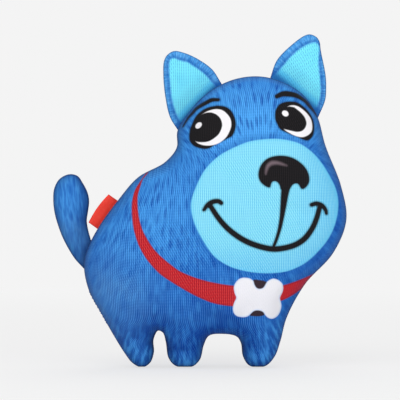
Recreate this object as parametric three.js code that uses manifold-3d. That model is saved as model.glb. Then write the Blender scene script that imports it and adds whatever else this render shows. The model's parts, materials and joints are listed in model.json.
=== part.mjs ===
// Stuffed dog toy that stands on three short legs and looks out of its front, which faces -Y.
// Two panels of printed canvas are sewn together round the edge and filled with fibre. Two
// ears, a stuffed tail and a folded side label are caught in that seam, and a round squeaker
// sits in a pocket in the middle of the filling. Millimetres, +Z up. The origin is on the
// floor, under the middle of the toy.
import * as THREE from 'three';
import { mergeVertices } from 'three/addons/utils/BufferGeometryUtils.js';
import Module from 'manifold-3d';

const wasm = await Module();
wasm.setup();

// Cover: the trunk is the head and body together, measured from its left edge and its belly.
const trunkWidth = 189;
const trunkHeight = 186.5;
const bellyHeight = 23.5;
const coverDepth = 45;
const coverSpread = 62;
const coverWall = 1;

// Legs: where each one stands from the trunk's left edge, and how wide it is.
const rearLegPlace = 40;
const rearLegWidth = 20.8;
const middleLegPlace = 73.6;
const middleLegWidth = 25.6;
const frontLegPlace = 126;
const frontLegWidth = 25;
const soleCut = 0.5;

// Ears: pockets of the same canvas with a thin filling.
const earWidth = 47;
const earHeight = 42.6;
const earDepth = 3;
const earSpread = 14;
const earFillStart = 6;

// Tail: a stuffed tube that curves up and is sewn flat at its root.
const tailRootWidth = 22;
const tailRise = 53.3;
const tailReach = 34.7;
const tailDepth = 14;
const tailSpread = 18;
const tailTaper = 18;
const tailFillStart = 8;

const trimWall = 0.8;

// Side label: a ribbon folded into a flat loop.
const labelWidth = 25;
const labelReach = 7.5;
const labelRibbon = 0.6;
const labelOpening = 0.5;

// Squeaker: a pleated bulb that is pressed along Y, with a reed in its back wall.
const squeakerPlace = 75.4;
const squeakerHeight = 88;
const squeakerDiameter = 44;
const squeakerThickness = 20;
const squeakerWall = 1.2;
const cupDepth = 6;
const pleatDepth = 2.4;
const reedHolderDiameter = 10;
const reedHolderLength = 7;
const reedHolderFlange = 1;
const reedHolderRim = 1.6;
const airHoleDiameter = 4.4;
const reedThickness = 0.4;
const reedLength = 5;

// Fits: pieces that touch on the real toy keep the seam gap, and the filling its own.
const seamGap = 0.3;
const fillGap = 0.4;
const leastCavity = 0.2;

// Fineness of the solids: the net on the cover and on the trim, and the rings next to a seam.
const coverNet = 9;
const trimNet = 7;
const coverEdgeRings = [0.5, 3.5];
const trimEdgeRings = [0.5, 2.8];
const longestEdge = 9;
const sharpestTurn = 0.6;
const cornerTurn = 0.5;
const cornerShare = 0.34;
const netMarginShare = 0.4;
const outlineSamples = 720;
const edgeSamples = 180;
const farShare = 300;
const membraneCell = 2;
const membraneRounds = 420;
const membraneOverstep = 1.9;
const turnSides = 28;
const foldSides = 6;
const overrun = 400;

// Where each piece is sewn in, as a share of the way round the cover's outline.
const leftEarSeatShare = 0.686;
const rightEarSeatShare = 0.568;
const tailSeatShare = 0.886;
const labelSeatShare = 0.839;

// The trunk's outline from the top of the front leg, up the chest, over the head and down the
// back, in shares of the trunk's width and height.
const trunkShares = [
  [0.773, 0.066], [0.842, 0.193], [0.949, 0.313], [0.999, 0.44], [0.979, 0.571],
  [0.92, 0.726], [0.886, 0.846], [0.825, 0.932], [0.701, 0.99], [0.587, 0.987],
  [0.48, 0.938], [0.404, 0.863], [0.356, 0.784], [0.353, 0.72], [0.309, 0.664],
  [0.206, 0.605], [0.13, 0.517], [0.056, 0.413], [0.013, 0.328], [0, 0.27],
  [0.017, 0.174], [0.065, 0.081],
];

// Each leg's outline from its left edge round the foot to its right edge, in shares of its
// width and of the belly's height.
const rearLegShares = [
  [-0.5, 0.41], [-0.24, 0.13], [0.08, 0], [0.36, 0.13], [0.5, 0.46], [0.486, 0.83],
];
const middleLegShares = [
  [-0.574, 0.76], [-0.5, 0.29], [-0.32, 0.06], [-0.05, 0], [0.2, 0.04], [0.39, 0.24],
  [0.5, 0.68],
];
const frontLegShares = [
  [-0.524, 0.74], [-0.464, 0.34], [-0.3, 0.07], [-0.04, 0], [0.22, 0.06], [0.46, 0.34],
  [0.62, 0.8],
];
// The tops of the two gaps, in shares of the gap's width and of the belly's height.
const rearGapShares = [[0.38, 1.11], [0.76, 1.05]];
const frontGapShares = [[0.14, 0.955], [0.5, 1.01], [0.88, 0.93]];

// Free edges, anticlockwise as seen from the front, in shares of the width along the seam and
// of the height or reach out of it.
const leftEarShares = [
  [-0.545, 0.28], [-0.51, 0.57], [-0.43, 0.82], [-0.34, 0.965], [-0.22, 1], [-0.12, 0.965],
  [0.03, 0.82], [0.25, 0.54], [0.43, 0.235],
];
const rightEarShares = [
  [-0.39, 0.3], [-0.29, 0.46], [-0.15, 0.63], [0.15, 0.9], [0.25, 1], [0.335, 1.027],
  [0.43, 0.995], [0.48, 0.93], [0.54, 0.7], [0.57, 0.3],
];
const tailShares = [
  [-0.333, 0.115], [-0.44, 0.182], [-0.555, 0.202], [-0.703, 0.234], [-0.809, 0.309],
  [-0.918, 0.454], [-0.994, 0.598], [-0.987, 0.776], [-0.893, 0.943], [-0.751, 1],
  [-0.597, 0.961], [-0.438, 0.871], [-0.3, 0.753], [-0.143, 0.587], [-0.009, 0.406],
  [0.101, 0.225],
];
const tailRootShare = 0.12;
const earRootShare = 0.1;
const earTaperShare = 0.3;

// The neck, where the head's filling ends, in shares of the trunk.
const neckShares = [[0.347, 0.7], [0.937, 0.293]];
// The height at which the filling of the legs ends, as a share of the belly's height.
const hipShare = 1;

const colours = {
  cover: 0x3a7bbf,
  tail: 0x4183ca,
  ear: 0x6edaf9,
  label: 0xf03228,
  fibre: 0xf2f1ec,
  bulb: 0xe9e6da,
  reed: 0xd8dde2,
};

function material(colour, roughness) {
  return new THREE.MeshStandardMaterial({ color: colour, roughness, metalness: 0 });
}

const canvas = material(colours.cover, 0.9);
const tailCanvas = material(colours.tail, 0.9);
const earCanvas = material(colours.ear, 0.9);
const ribbon = material(colours.label, 0.6);
const fibre = material(colours.fibre, 1);
const bulb = material(colours.bulb, 0.45);
const reedPlastic = material(colours.reed, 0.3);

// Outlines are lists of Vector2, whose y is the height above the floor.

function splinePoints(points, closed, samples) {
  const stations = points.map((point) => new THREE.Vector3(point.x, point.y, 0));
  const curve = new THREE.CatmullRomCurve3(stations, closed, 'centripetal');
  curve.arcLengthDivisions = samples;
  const spaced = curve.getSpacedPoints(samples);
  if (closed) {
    spaced.pop();
  }
  return spaced.map((point) => new THREE.Vector2(point.x, point.y));
}

function legPoints(place, width, shares) {
  return shares.map(([across, up]) => (
    new THREE.Vector2(place + across * width, up * (bellyHeight + soleCut) - soleCut)
  ));
}

function gapPoints(before, after, shares) {
  const left = before.at(-1).x;
  const right = after[0].x;
  return shares.map(([across, up]) => (
    new THREE.Vector2(THREE.MathUtils.lerp(left, right, across), up * bellyHeight)
  ));
}

function trunkPoint([across, up]) {
  return new THREE.Vector2(across * trunkWidth, bellyHeight + up * trunkHeight);
}

function coverOutline() {
  const rear = legPoints(rearLegPlace, rearLegWidth, rearLegShares);
  const middle = legPoints(middleLegPlace, middleLegWidth, middleLegShares);
  const front = legPoints(frontLegPlace, frontLegWidth, frontLegShares);
  const stations = [
    ...rear,
    ...gapPoints(rear, middle, rearGapShares),
    ...middle,
    ...gapPoints(middle, front, frontGapShares),
    ...front,
    ...trunkShares.map(trunkPoint),
  ];
  return splinePoints(stations, true, outlineSamples);
}

// Thins an outline to a polygon that keeps its corners, and between them has points closer
// together where it turns more.
function thinned(points) {
  const turns = points.map((point, i) => {
    const before = point.clone().sub(points.at(i - 1));
    const after = points[(i + 1) % points.length].clone().sub(point);
    return Math.abs(Math.atan2(before.cross(after), before.dot(after)));
  });
  const corners = points.map((_, i) => i).filter((i) => turns[i] > cornerTurn);
  const starts = corners.length > 0 ? corners : [0];
  const kept = [];
  const keptCorners = [];
  starts.forEach((start, k) => {
    const following = starts[k + 1] ?? starts[0] + points.length;
    const measures = [0];
    for (let i = start + 1; i <= following; i += 1) {
      const here = i % points.length;
      const edge = points[here].distanceTo(points.at(here - 1));
      const turn = i < following ? turns[here] : 0;
      measures.push(measures.at(-1) + edge / longestEdge + turn / sharpestTurn);
    }
    if (corners.length > 0) {
      keptCorners.push(kept.length);
    }
    const pieces = Math.max(Math.ceil(measures.at(-1)), 1);
    for (let piece = 0; piece < pieces; piece += 1) {
      const wanted = (piece / pieces) * measures.at(-1);
      const offset = measures.findIndex((measure) => measure >= wanted);
      kept.push(points[(start + offset) % points.length]);
    }
  });
  return { seam: kept, corners: keptCorners };
}

// How much of its full distance from the seam each ring point keeps: less towards a corner,
// so that the rings don't cross there.
function cornerEase(seam, corners, fullDistance) {
  const gaps = seam.map((point, i) => point.distanceTo(seam[(i + 1) % seam.length]));
  return seam.map((_, i) => {
    let room = Infinity;
    for (const corner of corners) {
      const steps = (i - corner + seam.length) % seam.length;
      const round = (start, count) => (
        Array.from({ length: count }, (__, k) => gaps[(start + k) % seam.length])
          .reduce((sum, gap) => sum + gap, 0)
      );
      const ahead = steps === 0 ? gaps[i] : round(corner, steps);
      const behind = steps === 0 ? gaps.at(i - 1) : round(i, seam.length - steps);
      room = Math.min(room, ahead, behind);
    }
    return Math.min(1, (cornerShare * room) / fullDistance);
  });
}

function contains(outline, point) {
  let inside = false;
  outline.forEach((end, i) => {
    const start = outline.at(i - 1);
    if ((end.y > point.y) !== (start.y > point.y)) {
      const share = (point.y - end.y) / (start.y - end.y);
      if (point.x < end.x + share * (start.x - end.x)) {
        inside = !inside;
      }
    }
  });
  return inside;
}

function nearest(outline, point) {
  let best = { distance: Infinity, foot: null };
  outline.forEach((end, i) => {
    const start = outline.at(i - 1);
    const edge = end.clone().sub(start);
    const along = point.clone().sub(start).dot(edge) / edge.lengthSq();
    const foot = start.clone().addScaledVector(edge, THREE.MathUtils.clamp(along, 0, 1));
    const distance = foot.distanceTo(point);
    if (distance < best.distance) {
      best = { distance, foot };
    }
  });
  return best;
}

// The height of a film that is held along the outline and pushed up evenly, which is how a
// filled cover swells. It is worked out on a square grid by repeated averaging.
function membrane(outline) {
  const box = new THREE.Box2().setFromPoints(outline).expandByScalar(2 * membraneCell);
  const size = box.getSize(new THREE.Vector2());
  const columns = Math.ceil(size.x / membraneCell) + 1;
  const rows = Math.ceil(size.y / membraneCell) + 1;
  const film = new Float64Array(columns * rows);
  const inner = [];
  for (let row = 1; row < rows - 1; row += 1) {
    for (let column = 1; column < columns - 1; column += 1) {
      const point = new THREE.Vector2(column, row).multiplyScalar(membraneCell).add(box.min);
      if (contains(outline, point)) {
        inner.push(row * columns + column);
      }
    }
  }
  for (let round = 0; round < membraneRounds; round += 1) {
    for (const k of inner) {
      const around = film[k - 1] + film[k + 1] + film[k - columns] + film[k + columns];
      const level = (around + membraneCell ** 2) / 4;
      film[k] += membraneOverstep * (level - film[k]);
    }
  }
  return (point) => {
    const place = point.clone().sub(box.min).divideScalar(membraneCell);
    const column = THREE.MathUtils.clamp(Math.floor(place.x), 0, columns - 2);
    const row = THREE.MathUtils.clamp(Math.floor(place.y), 0, rows - 2);
    const k = row * columns + column;
    const low = THREE.MathUtils.lerp(film[k], film[k + 1], place.x - column);
    const high = THREE.MathUtils.lerp(film[k + columns], film[k + columns + 1], place.x - column);
    return THREE.MathUtils.lerp(low, high, place.y - row);
  };
}

// Half the depth of a filled cover at a point. Close to the seam the film's height falls in
// proportion to the distance, so it is read a little further in and scaled down.
function swelling(outline, depth, spread, rootShareAt) {
  const film = membrane(outline);
  const edgeBand = 2 * membraneCell;
  return (point) => {
    const { distance, foot } = nearest(outline, point);
    let height = film(point);
    if (distance < edgeBand && distance > 0) {
      const inward = point.clone().sub(foot).setLength(edgeBand);
      height = film(foot.clone().add(inward)) * (distance / edgeBand);
    }
    const swell = 2 * Math.sqrt(Math.max(height, 0));
    return depth * Math.tanh(swell / spread) * rootShareAt(point);
  };
}

// Joins points to triangles none of whose circles holds another point.
function triangulated(points) {
  const box = new THREE.Box2().setFromPoints(points);
  const middle = box.getCenter(new THREE.Vector2());
  const far = farShare * box.getSize(new THREE.Vector2()).length();
  const all = [
    ...points,
    new THREE.Vector2(middle.x - far, middle.y - far),
    new THREE.Vector2(middle.x + far, middle.y - far),
    new THREE.Vector2(middle.x, middle.y + far),
  ];
  const circled = (a, b, c) => {
    const p = all[a];
    const q = all[b].clone().sub(p);
    const r = all[c].clone().sub(p);
    const twice = 2 * q.cross(r);
    const x = (r.y * q.lengthSq() - q.y * r.lengthSq()) / twice;
    const y = (q.x * r.lengthSq() - r.x * q.lengthSq()) / twice;
    return { corners: [a, b, c], centre: new THREE.Vector2(x + p.x, y + p.y), reach: x * x + y * y };
  };
  const count = points.length;
  let triangles = [circled(count, count + 1, count + 2)];
  points.forEach((point, index) => {
    const broken = triangles.filter((t) => t.centre.distanceToSquared(point) < t.reach);
    triangles = triangles.filter((t) => !broken.includes(t));
    const sides = broken.flatMap(({ corners: [a, b, c] }) => [[a, b], [b, c], [c, a]]);
    const rim = sides.filter(([a, b]) => !sides.some(([c, d]) => a === d && b === c));
    triangles.push(...rim.map(([a, b]) => circled(a, b, index)));
  });
  return triangles.map((t) => t.corners).filter((corners) => corners.every((k) => k < count));
}

// The direction into an outline at each of its points, halfway between its two edges there.
function inwardDirections(outline) {
  return outline.map((point, i) => {
    const before = point.clone().sub(outline.at(i - 1)).normalize();
    const after = outline[(i + 1) % outline.length].clone().sub(point).normalize();
    const along = before.add(after);
    return new THREE.Vector2(-along.y, along.x).normalize();
  });
}

// One half of a filled cover as an open surface: rings beside the seam, then a net of points
// inside them. Its depth is how far each point lies from the middle plane.
function halfSurface(outline, edgeRings, net, lift, depthAt) {
  const { seam, corners } = thinned(outline);
  const inward = inwardDirections(seam);
  const ease = cornerEase(seam, corners, edgeRings.at(-1));
  const rings = edgeRings.map((distance) => (
    seam.map((point, i) => point.clone().addScaledVector(inward[i], distance * ease[i]))
  ));
  const last = rings.at(-1);
  const box = new THREE.Box2().setFromPoints(last);
  const netPoints = [];
  const rowStep = net * Math.sqrt(3) / 2;
  for (let row = 0; box.min.y + row * rowStep < box.max.y; row += 1) {
    const shift = (row % 2) * (net / 2);
    for (let x = box.min.x + shift; x < box.max.x; x += net) {
      const point = new THREE.Vector2(x, box.min.y + row * rowStep);
      if (contains(last, point) && nearest(last, point).distance > netMarginShare * net) {
        netPoints.push(point);
      }
    }
  }
  const plan = [...seam, ...rings.flat(), ...netPoints];
  const count = seam.length;
  const faces = [];
  for (let ring = 0; ring < rings.length; ring += 1) {
    for (let i = 0; i < count; i += 1) {
      const a = ring * count + i;
      const b = ring * count + (i + 1) % count;
      faces.push([a, b, b + count], [a, b + count, a + count]);
    }
  }
  const innerStart = rings.length * count;
  for (const [a, b, c] of triangulated(plan.slice(innerStart))) {
    const corners = [a, b, c].map((k) => plan[k + innerStart]);
    const centre = corners.reduce((sum, p) => sum.add(p), new THREE.Vector2()).divideScalar(3);
    if (contains(last, centre)) {
      faces.push([a + innerStart, b + innerStart, c + innerStart]);
    }
  }
  const depths = plan.map((point, k) => (k < count ? 0 : lift + depthAt(point)));
  const insetShares = plan.map((_, k) => (k < innerStart + count ? ease[k % count] : 1));
  return { plan, depths, faces, count, inward, insetShares };
}

function surfaceGeometry(points, faces) {
  const geometry = new THREE.BufferGeometry();
  const numbers = points.flatMap((point) => point.toArray());
  geometry.setAttribute('position', new THREE.Float32BufferAttribute(numbers, 3));
  geometry.setIndex(faces.flat());
  return geometry;
}

// The surface's points on one side of the middle plane, moved in by a distance square to it.
function sidePoints(surface, side, start, inset) {
  const outer = surface.plan.map((point, k) => (
    new THREE.Vector3(point.x, side * (start + surface.depths[k]), point.y)
  ));
  const turned = surface.faces.map(([a, b, c]) => (side < 0 ? [a, b, c] : [a, c, b]));
  const geometry = surfaceGeometry(outer, turned);
  geometry.computeVertexNormals();
  const normals = geometry.getAttribute('normal');
  const least = start + leastCavity;
  const points = outer.map((point, k) => {
    const move = inset * surface.insetShares[k];
    if (k < surface.count) {
      const inward = surface.inward[k];
      return point.clone().add(new THREE.Vector3(inward.x, 0, inward.y).multiplyScalar(move));
    }
    const normal = new THREE.Vector3().fromBufferAttribute(normals, k);
    const moved = point.clone().addScaledVector(normal, -move);
    if (inset > 0) {
      moved.y = side * Math.max(side * moved.y, least);
    }
    return moved;
  });
  return { points, faces: turned };
}

function flipped(faces, shift) {
  return faces.map(([a, b, c]) => [a + shift, c + shift, b + shift]);
}

// One sewn panel: the surface and a copy of it one wall further in, joined along the seam.
function panel(surface, side, wall) {
  const outer = sidePoints(surface, side, seamGap / 2, 0);
  const inner = sidePoints(surface, side, seamGap / 2, wall);
  const shift = outer.points.length;
  const edge = [];
  for (let i = 0; i < surface.count; i += 1) {
    const next = (i + 1) % surface.count;
    const quads = [[i, i + shift, next], [next, i + shift, next + shift]];
    edge.push(...(side < 0 ? quads : quads.map(([a, b, c]) => [a, c, b])));
  }
  const faces = [...outer.faces, ...flipped(inner.faces, shift), ...edge];
  return surfaceGeometry([...outer.points, ...inner.points], faces);
}

// The filling of a cover: both halves one wall and one gap further in, closed at the middle.
function filling(surface, inset) {
  const front = sidePoints(surface, -1, 0, inset);
  const back = sidePoints(surface, 1, 0, inset);
  const shift = front.points.length;
  const backFaces = back.faces.map((face) => face.map((k) => k + shift));
  return surfaceGeometry([...front.points, ...back.points], [...front.faces, ...backFaces]);
}

function solid(geometry) {
  const bare = geometry.clone();
  bare.deleteAttribute('normal');
  bare.deleteAttribute('uv');
  const merged = mergeVertices(bare);
  const mesh = new wasm.Mesh({
    numProp: 3,
    vertProperties: new Float32Array(merged.getAttribute('position').array),
    triVerts: new Uint32Array(merged.getIndex().array),
  });
  mesh.merge();
  return new wasm.Manifold(mesh);
}

function geometryOf(manifold) {
  const mesh = manifold.getMesh();
  const geometry = new THREE.BufferGeometry();
  geometry.setAttribute('position', new THREE.BufferAttribute(mesh.vertProperties, 3));
  geometry.setIndex(new THREE.BufferAttribute(mesh.triVerts, 1));
  return geometry;
}

// A block between two corners, for cutting.
function block(low, high) {
  const size = new THREE.Vector3().subVectors(high, low);
  const centre = new THREE.Vector3().addVectors(high, low).divideScalar(2);
  const geometry = new THREE.BoxGeometry(size.x, size.y, size.z);
  geometry.translate(centre.x, centre.y, centre.z);
  return solid(geometry);
}

// Everything beyond a line in the middle plane, on the side that the direction points to.
function beyond(point, direction) {
  const geometry = new THREE.BoxGeometry(2 * overrun, 2 * overrun, 2 * overrun);
  geometry.translate(overrun, 0, 0);
  geometry.rotateY(-direction.angle());
  geometry.translate(point.x, 0, point.y);
  return solid(geometry);
}

// A stretch of the cover's seam in which something is sewn: its points just outside the seam,
// its middle, the direction along it and the direction out of it.
function seat(outline, share, width) {
  const lengths = [0];
  for (let i = 1; i <= outline.length; i += 1) {
    lengths.push(lengths[i - 1] + outline[i % outline.length].distanceTo(outline[i - 1]));
  }
  const total = lengths.at(-1);
  const inward = inwardDirections(outline);
  const from = share * total - width / 2;
  const to = share * total + width / 2;
  const base = [];
  outline.forEach((point, i) => {
    if (lengths[i] >= from && lengths[i] <= to) {
      base.push(point.clone().addScaledVector(inward[i], -seamGap));
    }
  });
  const along = base.at(-1).clone().sub(base[0]).normalize();
  const out = new THREE.Vector2(along.y, -along.x);
  const middle = base[0].clone().add(base.at(-1)).divideScalar(2);
  const crown = Math.max(...base.map((point) => point.clone().sub(middle).dot(out)));
  return { base, along, out, middle, crown };
}

// The outline of something sewn into the seam: a free edge through points in shares of its
// sizes, and a base that follows the seam.
function sewnOutline(place, shares, alongSize, outSize) {
  const free = shares.map(([along, out]) => (
    place.middle.clone()
      .addScaledVector(place.along, along * alongSize)
      .addScaledVector(place.out, out * outSize)
  ));
  const stations = [place.base[0], ...free, place.base.at(-1)];
  const edge = splinePoints(stations, false, edgeSamples);
  return [...place.base.slice(1).reverse(), ...edge.slice(0, -1)];
}

// How much of its depth a piece keeps close to its root, where it is sewn flat.
function rootTaper(place, length, least) {
  return (point) => {
    const out = point.clone().sub(place.middle).dot(place.out) - place.crown;
    return least + (1 - least) * THREE.MathUtils.smoothstep(out, 0, length);
  };
}

function lathe(profile) {
  return new THREE.LatheGeometry(profile.map(([r, y]) => new THREE.Vector2(r, y)), turnSides);
}

const toy = new THREE.Group();

function addTo(group, name, geometry, look) {
  const mesh = new THREE.Mesh(geometry, look);
  mesh.name = name;
  group.add(mesh);
}

// Cover and filling.
const outline = coverOutline();
const coverSurface = halfSurface(
  outline,
  coverEdgeRings,
  coverNet,
  coverWall + leastCavity,
  swelling(outline, coverDepth, coverSpread, () => 1),
);

function cornerAt(x, y, z) {
  return new THREE.Vector3(x, y, z);
}

function buildCover() {
  const floor = block(cornerAt(-overrun, -overrun, -overrun), cornerAt(overrun, overrun, 0));
  for (const [name, side] of [['front_panel', -1], ['back_panel', 1]]) {
    const cut = solid(panel(coverSurface, side, coverWall)).subtract(floor);
    addTo(toy, name, geometryOf(cut), canvas);
  }
}

// The room that the squeaker takes, which is left free in the filling.
function squeakerPocket() {
  const back = squeakerThickness / 2 + seamGap + reedHolderFlange + fillGap;
  const front = squeakerThickness / 2 + fillGap;
  const radius = squeakerDiameter / 2 + fillGap;
  const geometry = new THREE.CylinderGeometry(radius, radius, back + front, turnSides);
  geometry.translate(squeakerPlace, (back - front) / 2, squeakerHeight);
  return solid(geometry);
}

function buildFilling() {
  const whole = solid(filling(coverSurface, coverWall + fillGap));
  const halfGap = seamGap / 2;
  const hip = hipShare * bellyHeight;
  const [rearEnd, middleStart] = [
    rearLegPlace + rearLegWidth / 2,
    middleLegPlace - middleLegWidth / 2,
  ];
  const [middleEnd, frontStart] = [
    middleLegPlace + middleLegWidth / 2,
    frontLegPlace - frontLegWidth / 2,
  ];
  const rearGap = (rearEnd + middleStart) / 2;
  const frontGap = (middleEnd + frontStart) / 2;
  const legs = [
    ['rear_leg_fill', -overrun, rearGap],
    ['middle_leg_fill', rearGap, frontGap],
    ['front_leg_fill', frontGap, overrun],
  ];
  for (const [name, from, to] of legs) {
    const room = block(cornerAt(from, -overrun, -overrun), cornerAt(to, overrun, hip - halfGap));
    addTo(toy, name, geometryOf(whole.intersect(room)), fibre);
  }
  const [napePoint, throatPoint] = neckShares.map(trunkPoint);
  const across = throatPoint.clone().sub(napePoint).normalize();
  const up = new THREE.Vector2(-across.y, across.x);
  const headRoom = beyond(napePoint.clone().addScaledVector(up, halfGap), up);
  addTo(toy, 'head_fill', geometryOf(whole.intersect(headRoom)), fibre);
  const down = up.clone().negate();
  const aboveHips = block(
    cornerAt(-overrun, -overrun, hip + halfGap),
    cornerAt(overrun, overrun, 2 * overrun),
  );
  const body = whole
    .intersect(beyond(napePoint.clone().addScaledVector(down, halfGap), down))
    .intersect(aboveHips)
    .subtract(squeakerPocket());
  const frontRoom = block(
    cornerAt(-overrun, -overrun, -overrun),
    cornerAt(overrun, -halfGap, overrun),
  );
  const backRoom = block(
    cornerAt(-overrun, halfGap, -overrun),
    cornerAt(overrun, overrun, overrun),
  );
  addTo(toy, 'body_front_fill', geometryOf(body.intersect(frontRoom)), fibre);
  addTo(toy, 'body_back_fill', geometryOf(body.intersect(backRoom)), fibre);
}

// A pocket that is sewn into the seam: two panels and the filling between them.
function buildSewnPocket(name, look, place, shares, sizes) {
  const edge = sewnOutline(place, shares, sizes.along, sizes.out);
  const taper = rootTaper(place, sizes.taper, sizes.rootShare);
  const surface = halfSurface(
    edge,
    trimEdgeRings,
    trimNet,
    trimWall + leastCavity,
    swelling(edge, sizes.depth, sizes.spread, taper),
  );
  addTo(toy, `${name}_front`, panel(surface, -1, trimWall), look);
  addTo(toy, `${name}_back`, panel(surface, 1, trimWall), look);
  const start = place.middle.clone()
    .addScaledVector(place.out, place.crown + sizes.fillStart);
  const kept = solid(filling(surface, trimWall + fillGap)).intersect(beyond(start, place.out));
  addTo(toy, `${name}_fill`, geometryOf(kept), fibre);
}

function buildEars() {
  const sizes = {
    along: earWidth,
    out: earHeight,
    depth: earDepth,
    spread: earSpread,
    taper: earTaperShare * earHeight,
    rootShare: earRootShare,
    fillStart: earFillStart,
  };
  const left = seat(outline, leftEarSeatShare, earWidth);
  const right = seat(outline, rightEarSeatShare, earWidth);
  buildSewnPocket('left_ear', earCanvas, left, leftEarShares, sizes);
  buildSewnPocket('right_ear', earCanvas, right, rightEarShares, sizes);
}

function buildTail() {
  const sizes = {
    along: tailRise,
    out: tailReach,
    depth: tailDepth,
    spread: tailSpread,
    taper: tailTaper,
    rootShare: tailRootShare,
    fillStart: tailFillStart,
  };
  const place = seat(outline, tailSeatShare, tailRootWidth);
  buildSewnPocket('tail', tailCanvas, place, tailShares, sizes);
}

// The label's section: out along one layer, round the fold and back, with the inside between.
function buildLabel() {
  const inner = labelOpening / 2;
  const outer = inner + labelRibbon;
  const turn = labelReach - outer;
  const section = new THREE.Shape();
  section.moveTo(0, -outer);
  section.lineTo(turn, -outer);
  section.absarc(turn, 0, outer, -Math.PI / 2, Math.PI / 2, false);
  section.lineTo(0, outer);
  section.lineTo(0, inner);
  section.lineTo(turn, inner);
  section.absarc(turn, 0, inner, Math.PI / 2, -Math.PI / 2, true);
  section.lineTo(0, -inner);
  section.closePath();
  const geometry = new THREE.ExtrudeGeometry(section, {
    depth: labelWidth,
    bevelEnabled: false,
    curveSegments: foldSides,
  });
  geometry.translate(0, 0, -labelWidth / 2);
  const place = seat(outline, labelSeatShare, labelWidth);
  const group = new THREE.Group();
  const start = place.middle.clone().addScaledVector(place.out, place.crown);
  group.position.set(start.x, 0, start.y);
  group.quaternion.setFromRotationMatrix(new THREE.Matrix4().makeBasis(
    new THREE.Vector3(place.out.x, 0, place.out.y),
    new THREE.Vector3(0, 1, 0),
    new THREE.Vector3(place.along.x, 0, place.along.y),
  ));
  addTo(group, 'side_label', geometry, ribbon);
  toy.add(group);
}

// Squeaker: turned round Y, with its back wall, which holds the reed, at +Y.
function cupProfile(hole) {
  const radius = squeakerDiameter / 2;
  const top = squeakerThickness / 2;
  const bevel = squeakerWall;
  return [
    [hole, top - squeakerWall],
    [radius - squeakerWall - bevel, top - squeakerWall],
    [radius - squeakerWall, top - squeakerWall - bevel],
    [radius - squeakerWall, top - cupDepth],
    [radius, top - cupDepth],
    [radius, top - bevel],
    [radius - bevel, top],
    [hole, top],
  ];
}

function buildSqueaker() {
  const group = new THREE.Group();
  group.position.set(squeakerPlace, 0, squeakerHeight);
  const holderRadius = reedHolderDiameter / 2;
  const hole = holderRadius + seamGap;
  const backProfile = cupProfile(hole);
  addTo(group, 'squeaker_back_wall', lathe([...backProfile, backProfile[0]]), bulb);
  const cap = lathe(cupProfile(0));
  cap.rotateX(Math.PI);
  addTo(group, 'squeaker_front_wall', cap, bulb);

  const reach = squeakerThickness / 2 - cupDepth - seamGap;
  const outerRadius = squeakerDiameter / 2;
  const pleats = [0, 1, 0, 1, 0];
  const outside = pleats.map((fold, i) => (
    [outerRadius - fold * pleatDepth, reach * (i / 2 - 1)]
  ));
  const inside = outside.map(([r, y]) => [r - squeakerWall, y]).reverse();
  addTo(group, 'squeaker_bellows', lathe([...outside, ...inside, outside[0]]), bulb);

  const seatHeight = squeakerThickness / 2 + seamGap;
  const end = seatHeight - reedHolderLength;
  const flangeRadius = holderRadius + reedHolderRim;
  const bore = airHoleDiameter / 2;
  const holder = [
    [bore, end],
    [holderRadius, end],
    [holderRadius, seatHeight],
    [flangeRadius, seatHeight],
    [flangeRadius, seatHeight + reedHolderFlange],
    [bore, seatHeight + reedHolderFlange],
    [bore, end],
  ];
  addTo(group, 'squeaker_reed_holder', lathe(holder), reedPlastic);
  const reed = new THREE.BoxGeometry(airHoleDiameter - 2 * seamGap, reedLength, reedThickness);
  reed.translate(0, end + reedHolderLength / 2, 0);
  addTo(group, 'squeaker_reed', reed, reedPlastic);
  toy.add(group);
}

buildCover();
buildFilling();
buildEars();
buildTail();
buildLabel();
buildSqueaker();

// The origin goes under the middle of the toy.
const middle = new THREE.Box3().setFromObject(toy).getCenter(new THREE.Vector3());
toy.position.set(-middle.x, -middle.y, 0);
const scene = new THREE.Group();
scene.add(toy);

export default scene;
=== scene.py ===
"""Looks of a stuffed dog toy of printed cloth: covers, ears, tail, label, filling and squeaker.

Every length in this file is in millimetres until a mesh is made, and x runs across the toy,
z up it and y from its printed front (minus) to its plain back (plus).
"""

import json
import logging
import math
from collections.abc import Callable
from dataclasses import dataclass, field
from enum import Enum

import bpy
import numpy as np
from mathutils.geometry import delaunay_2d_cdt
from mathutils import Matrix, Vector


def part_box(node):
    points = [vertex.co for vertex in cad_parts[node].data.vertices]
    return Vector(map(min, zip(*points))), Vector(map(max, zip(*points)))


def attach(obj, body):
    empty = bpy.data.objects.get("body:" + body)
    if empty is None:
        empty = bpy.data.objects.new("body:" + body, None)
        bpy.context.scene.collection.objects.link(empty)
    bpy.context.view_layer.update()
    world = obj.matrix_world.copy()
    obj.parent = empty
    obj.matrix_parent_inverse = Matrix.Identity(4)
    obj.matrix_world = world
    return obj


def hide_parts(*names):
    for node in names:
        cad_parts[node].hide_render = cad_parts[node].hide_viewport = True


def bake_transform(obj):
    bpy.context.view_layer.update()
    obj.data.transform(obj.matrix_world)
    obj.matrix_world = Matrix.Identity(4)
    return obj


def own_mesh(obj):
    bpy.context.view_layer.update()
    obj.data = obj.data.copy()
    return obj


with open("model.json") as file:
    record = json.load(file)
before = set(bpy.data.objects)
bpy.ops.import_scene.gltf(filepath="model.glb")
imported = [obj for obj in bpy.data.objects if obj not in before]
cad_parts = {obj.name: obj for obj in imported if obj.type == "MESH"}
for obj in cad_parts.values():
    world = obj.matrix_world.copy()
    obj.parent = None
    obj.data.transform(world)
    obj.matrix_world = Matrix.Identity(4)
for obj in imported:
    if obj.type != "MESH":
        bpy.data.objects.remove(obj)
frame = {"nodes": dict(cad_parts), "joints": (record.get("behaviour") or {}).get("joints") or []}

log = logging.getLogger("dog_toy")
Array = np.ndarray
Point = tuple[float, float]
Points = tuple[Point, ...]
Colour = tuple[int, int, int]
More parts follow.
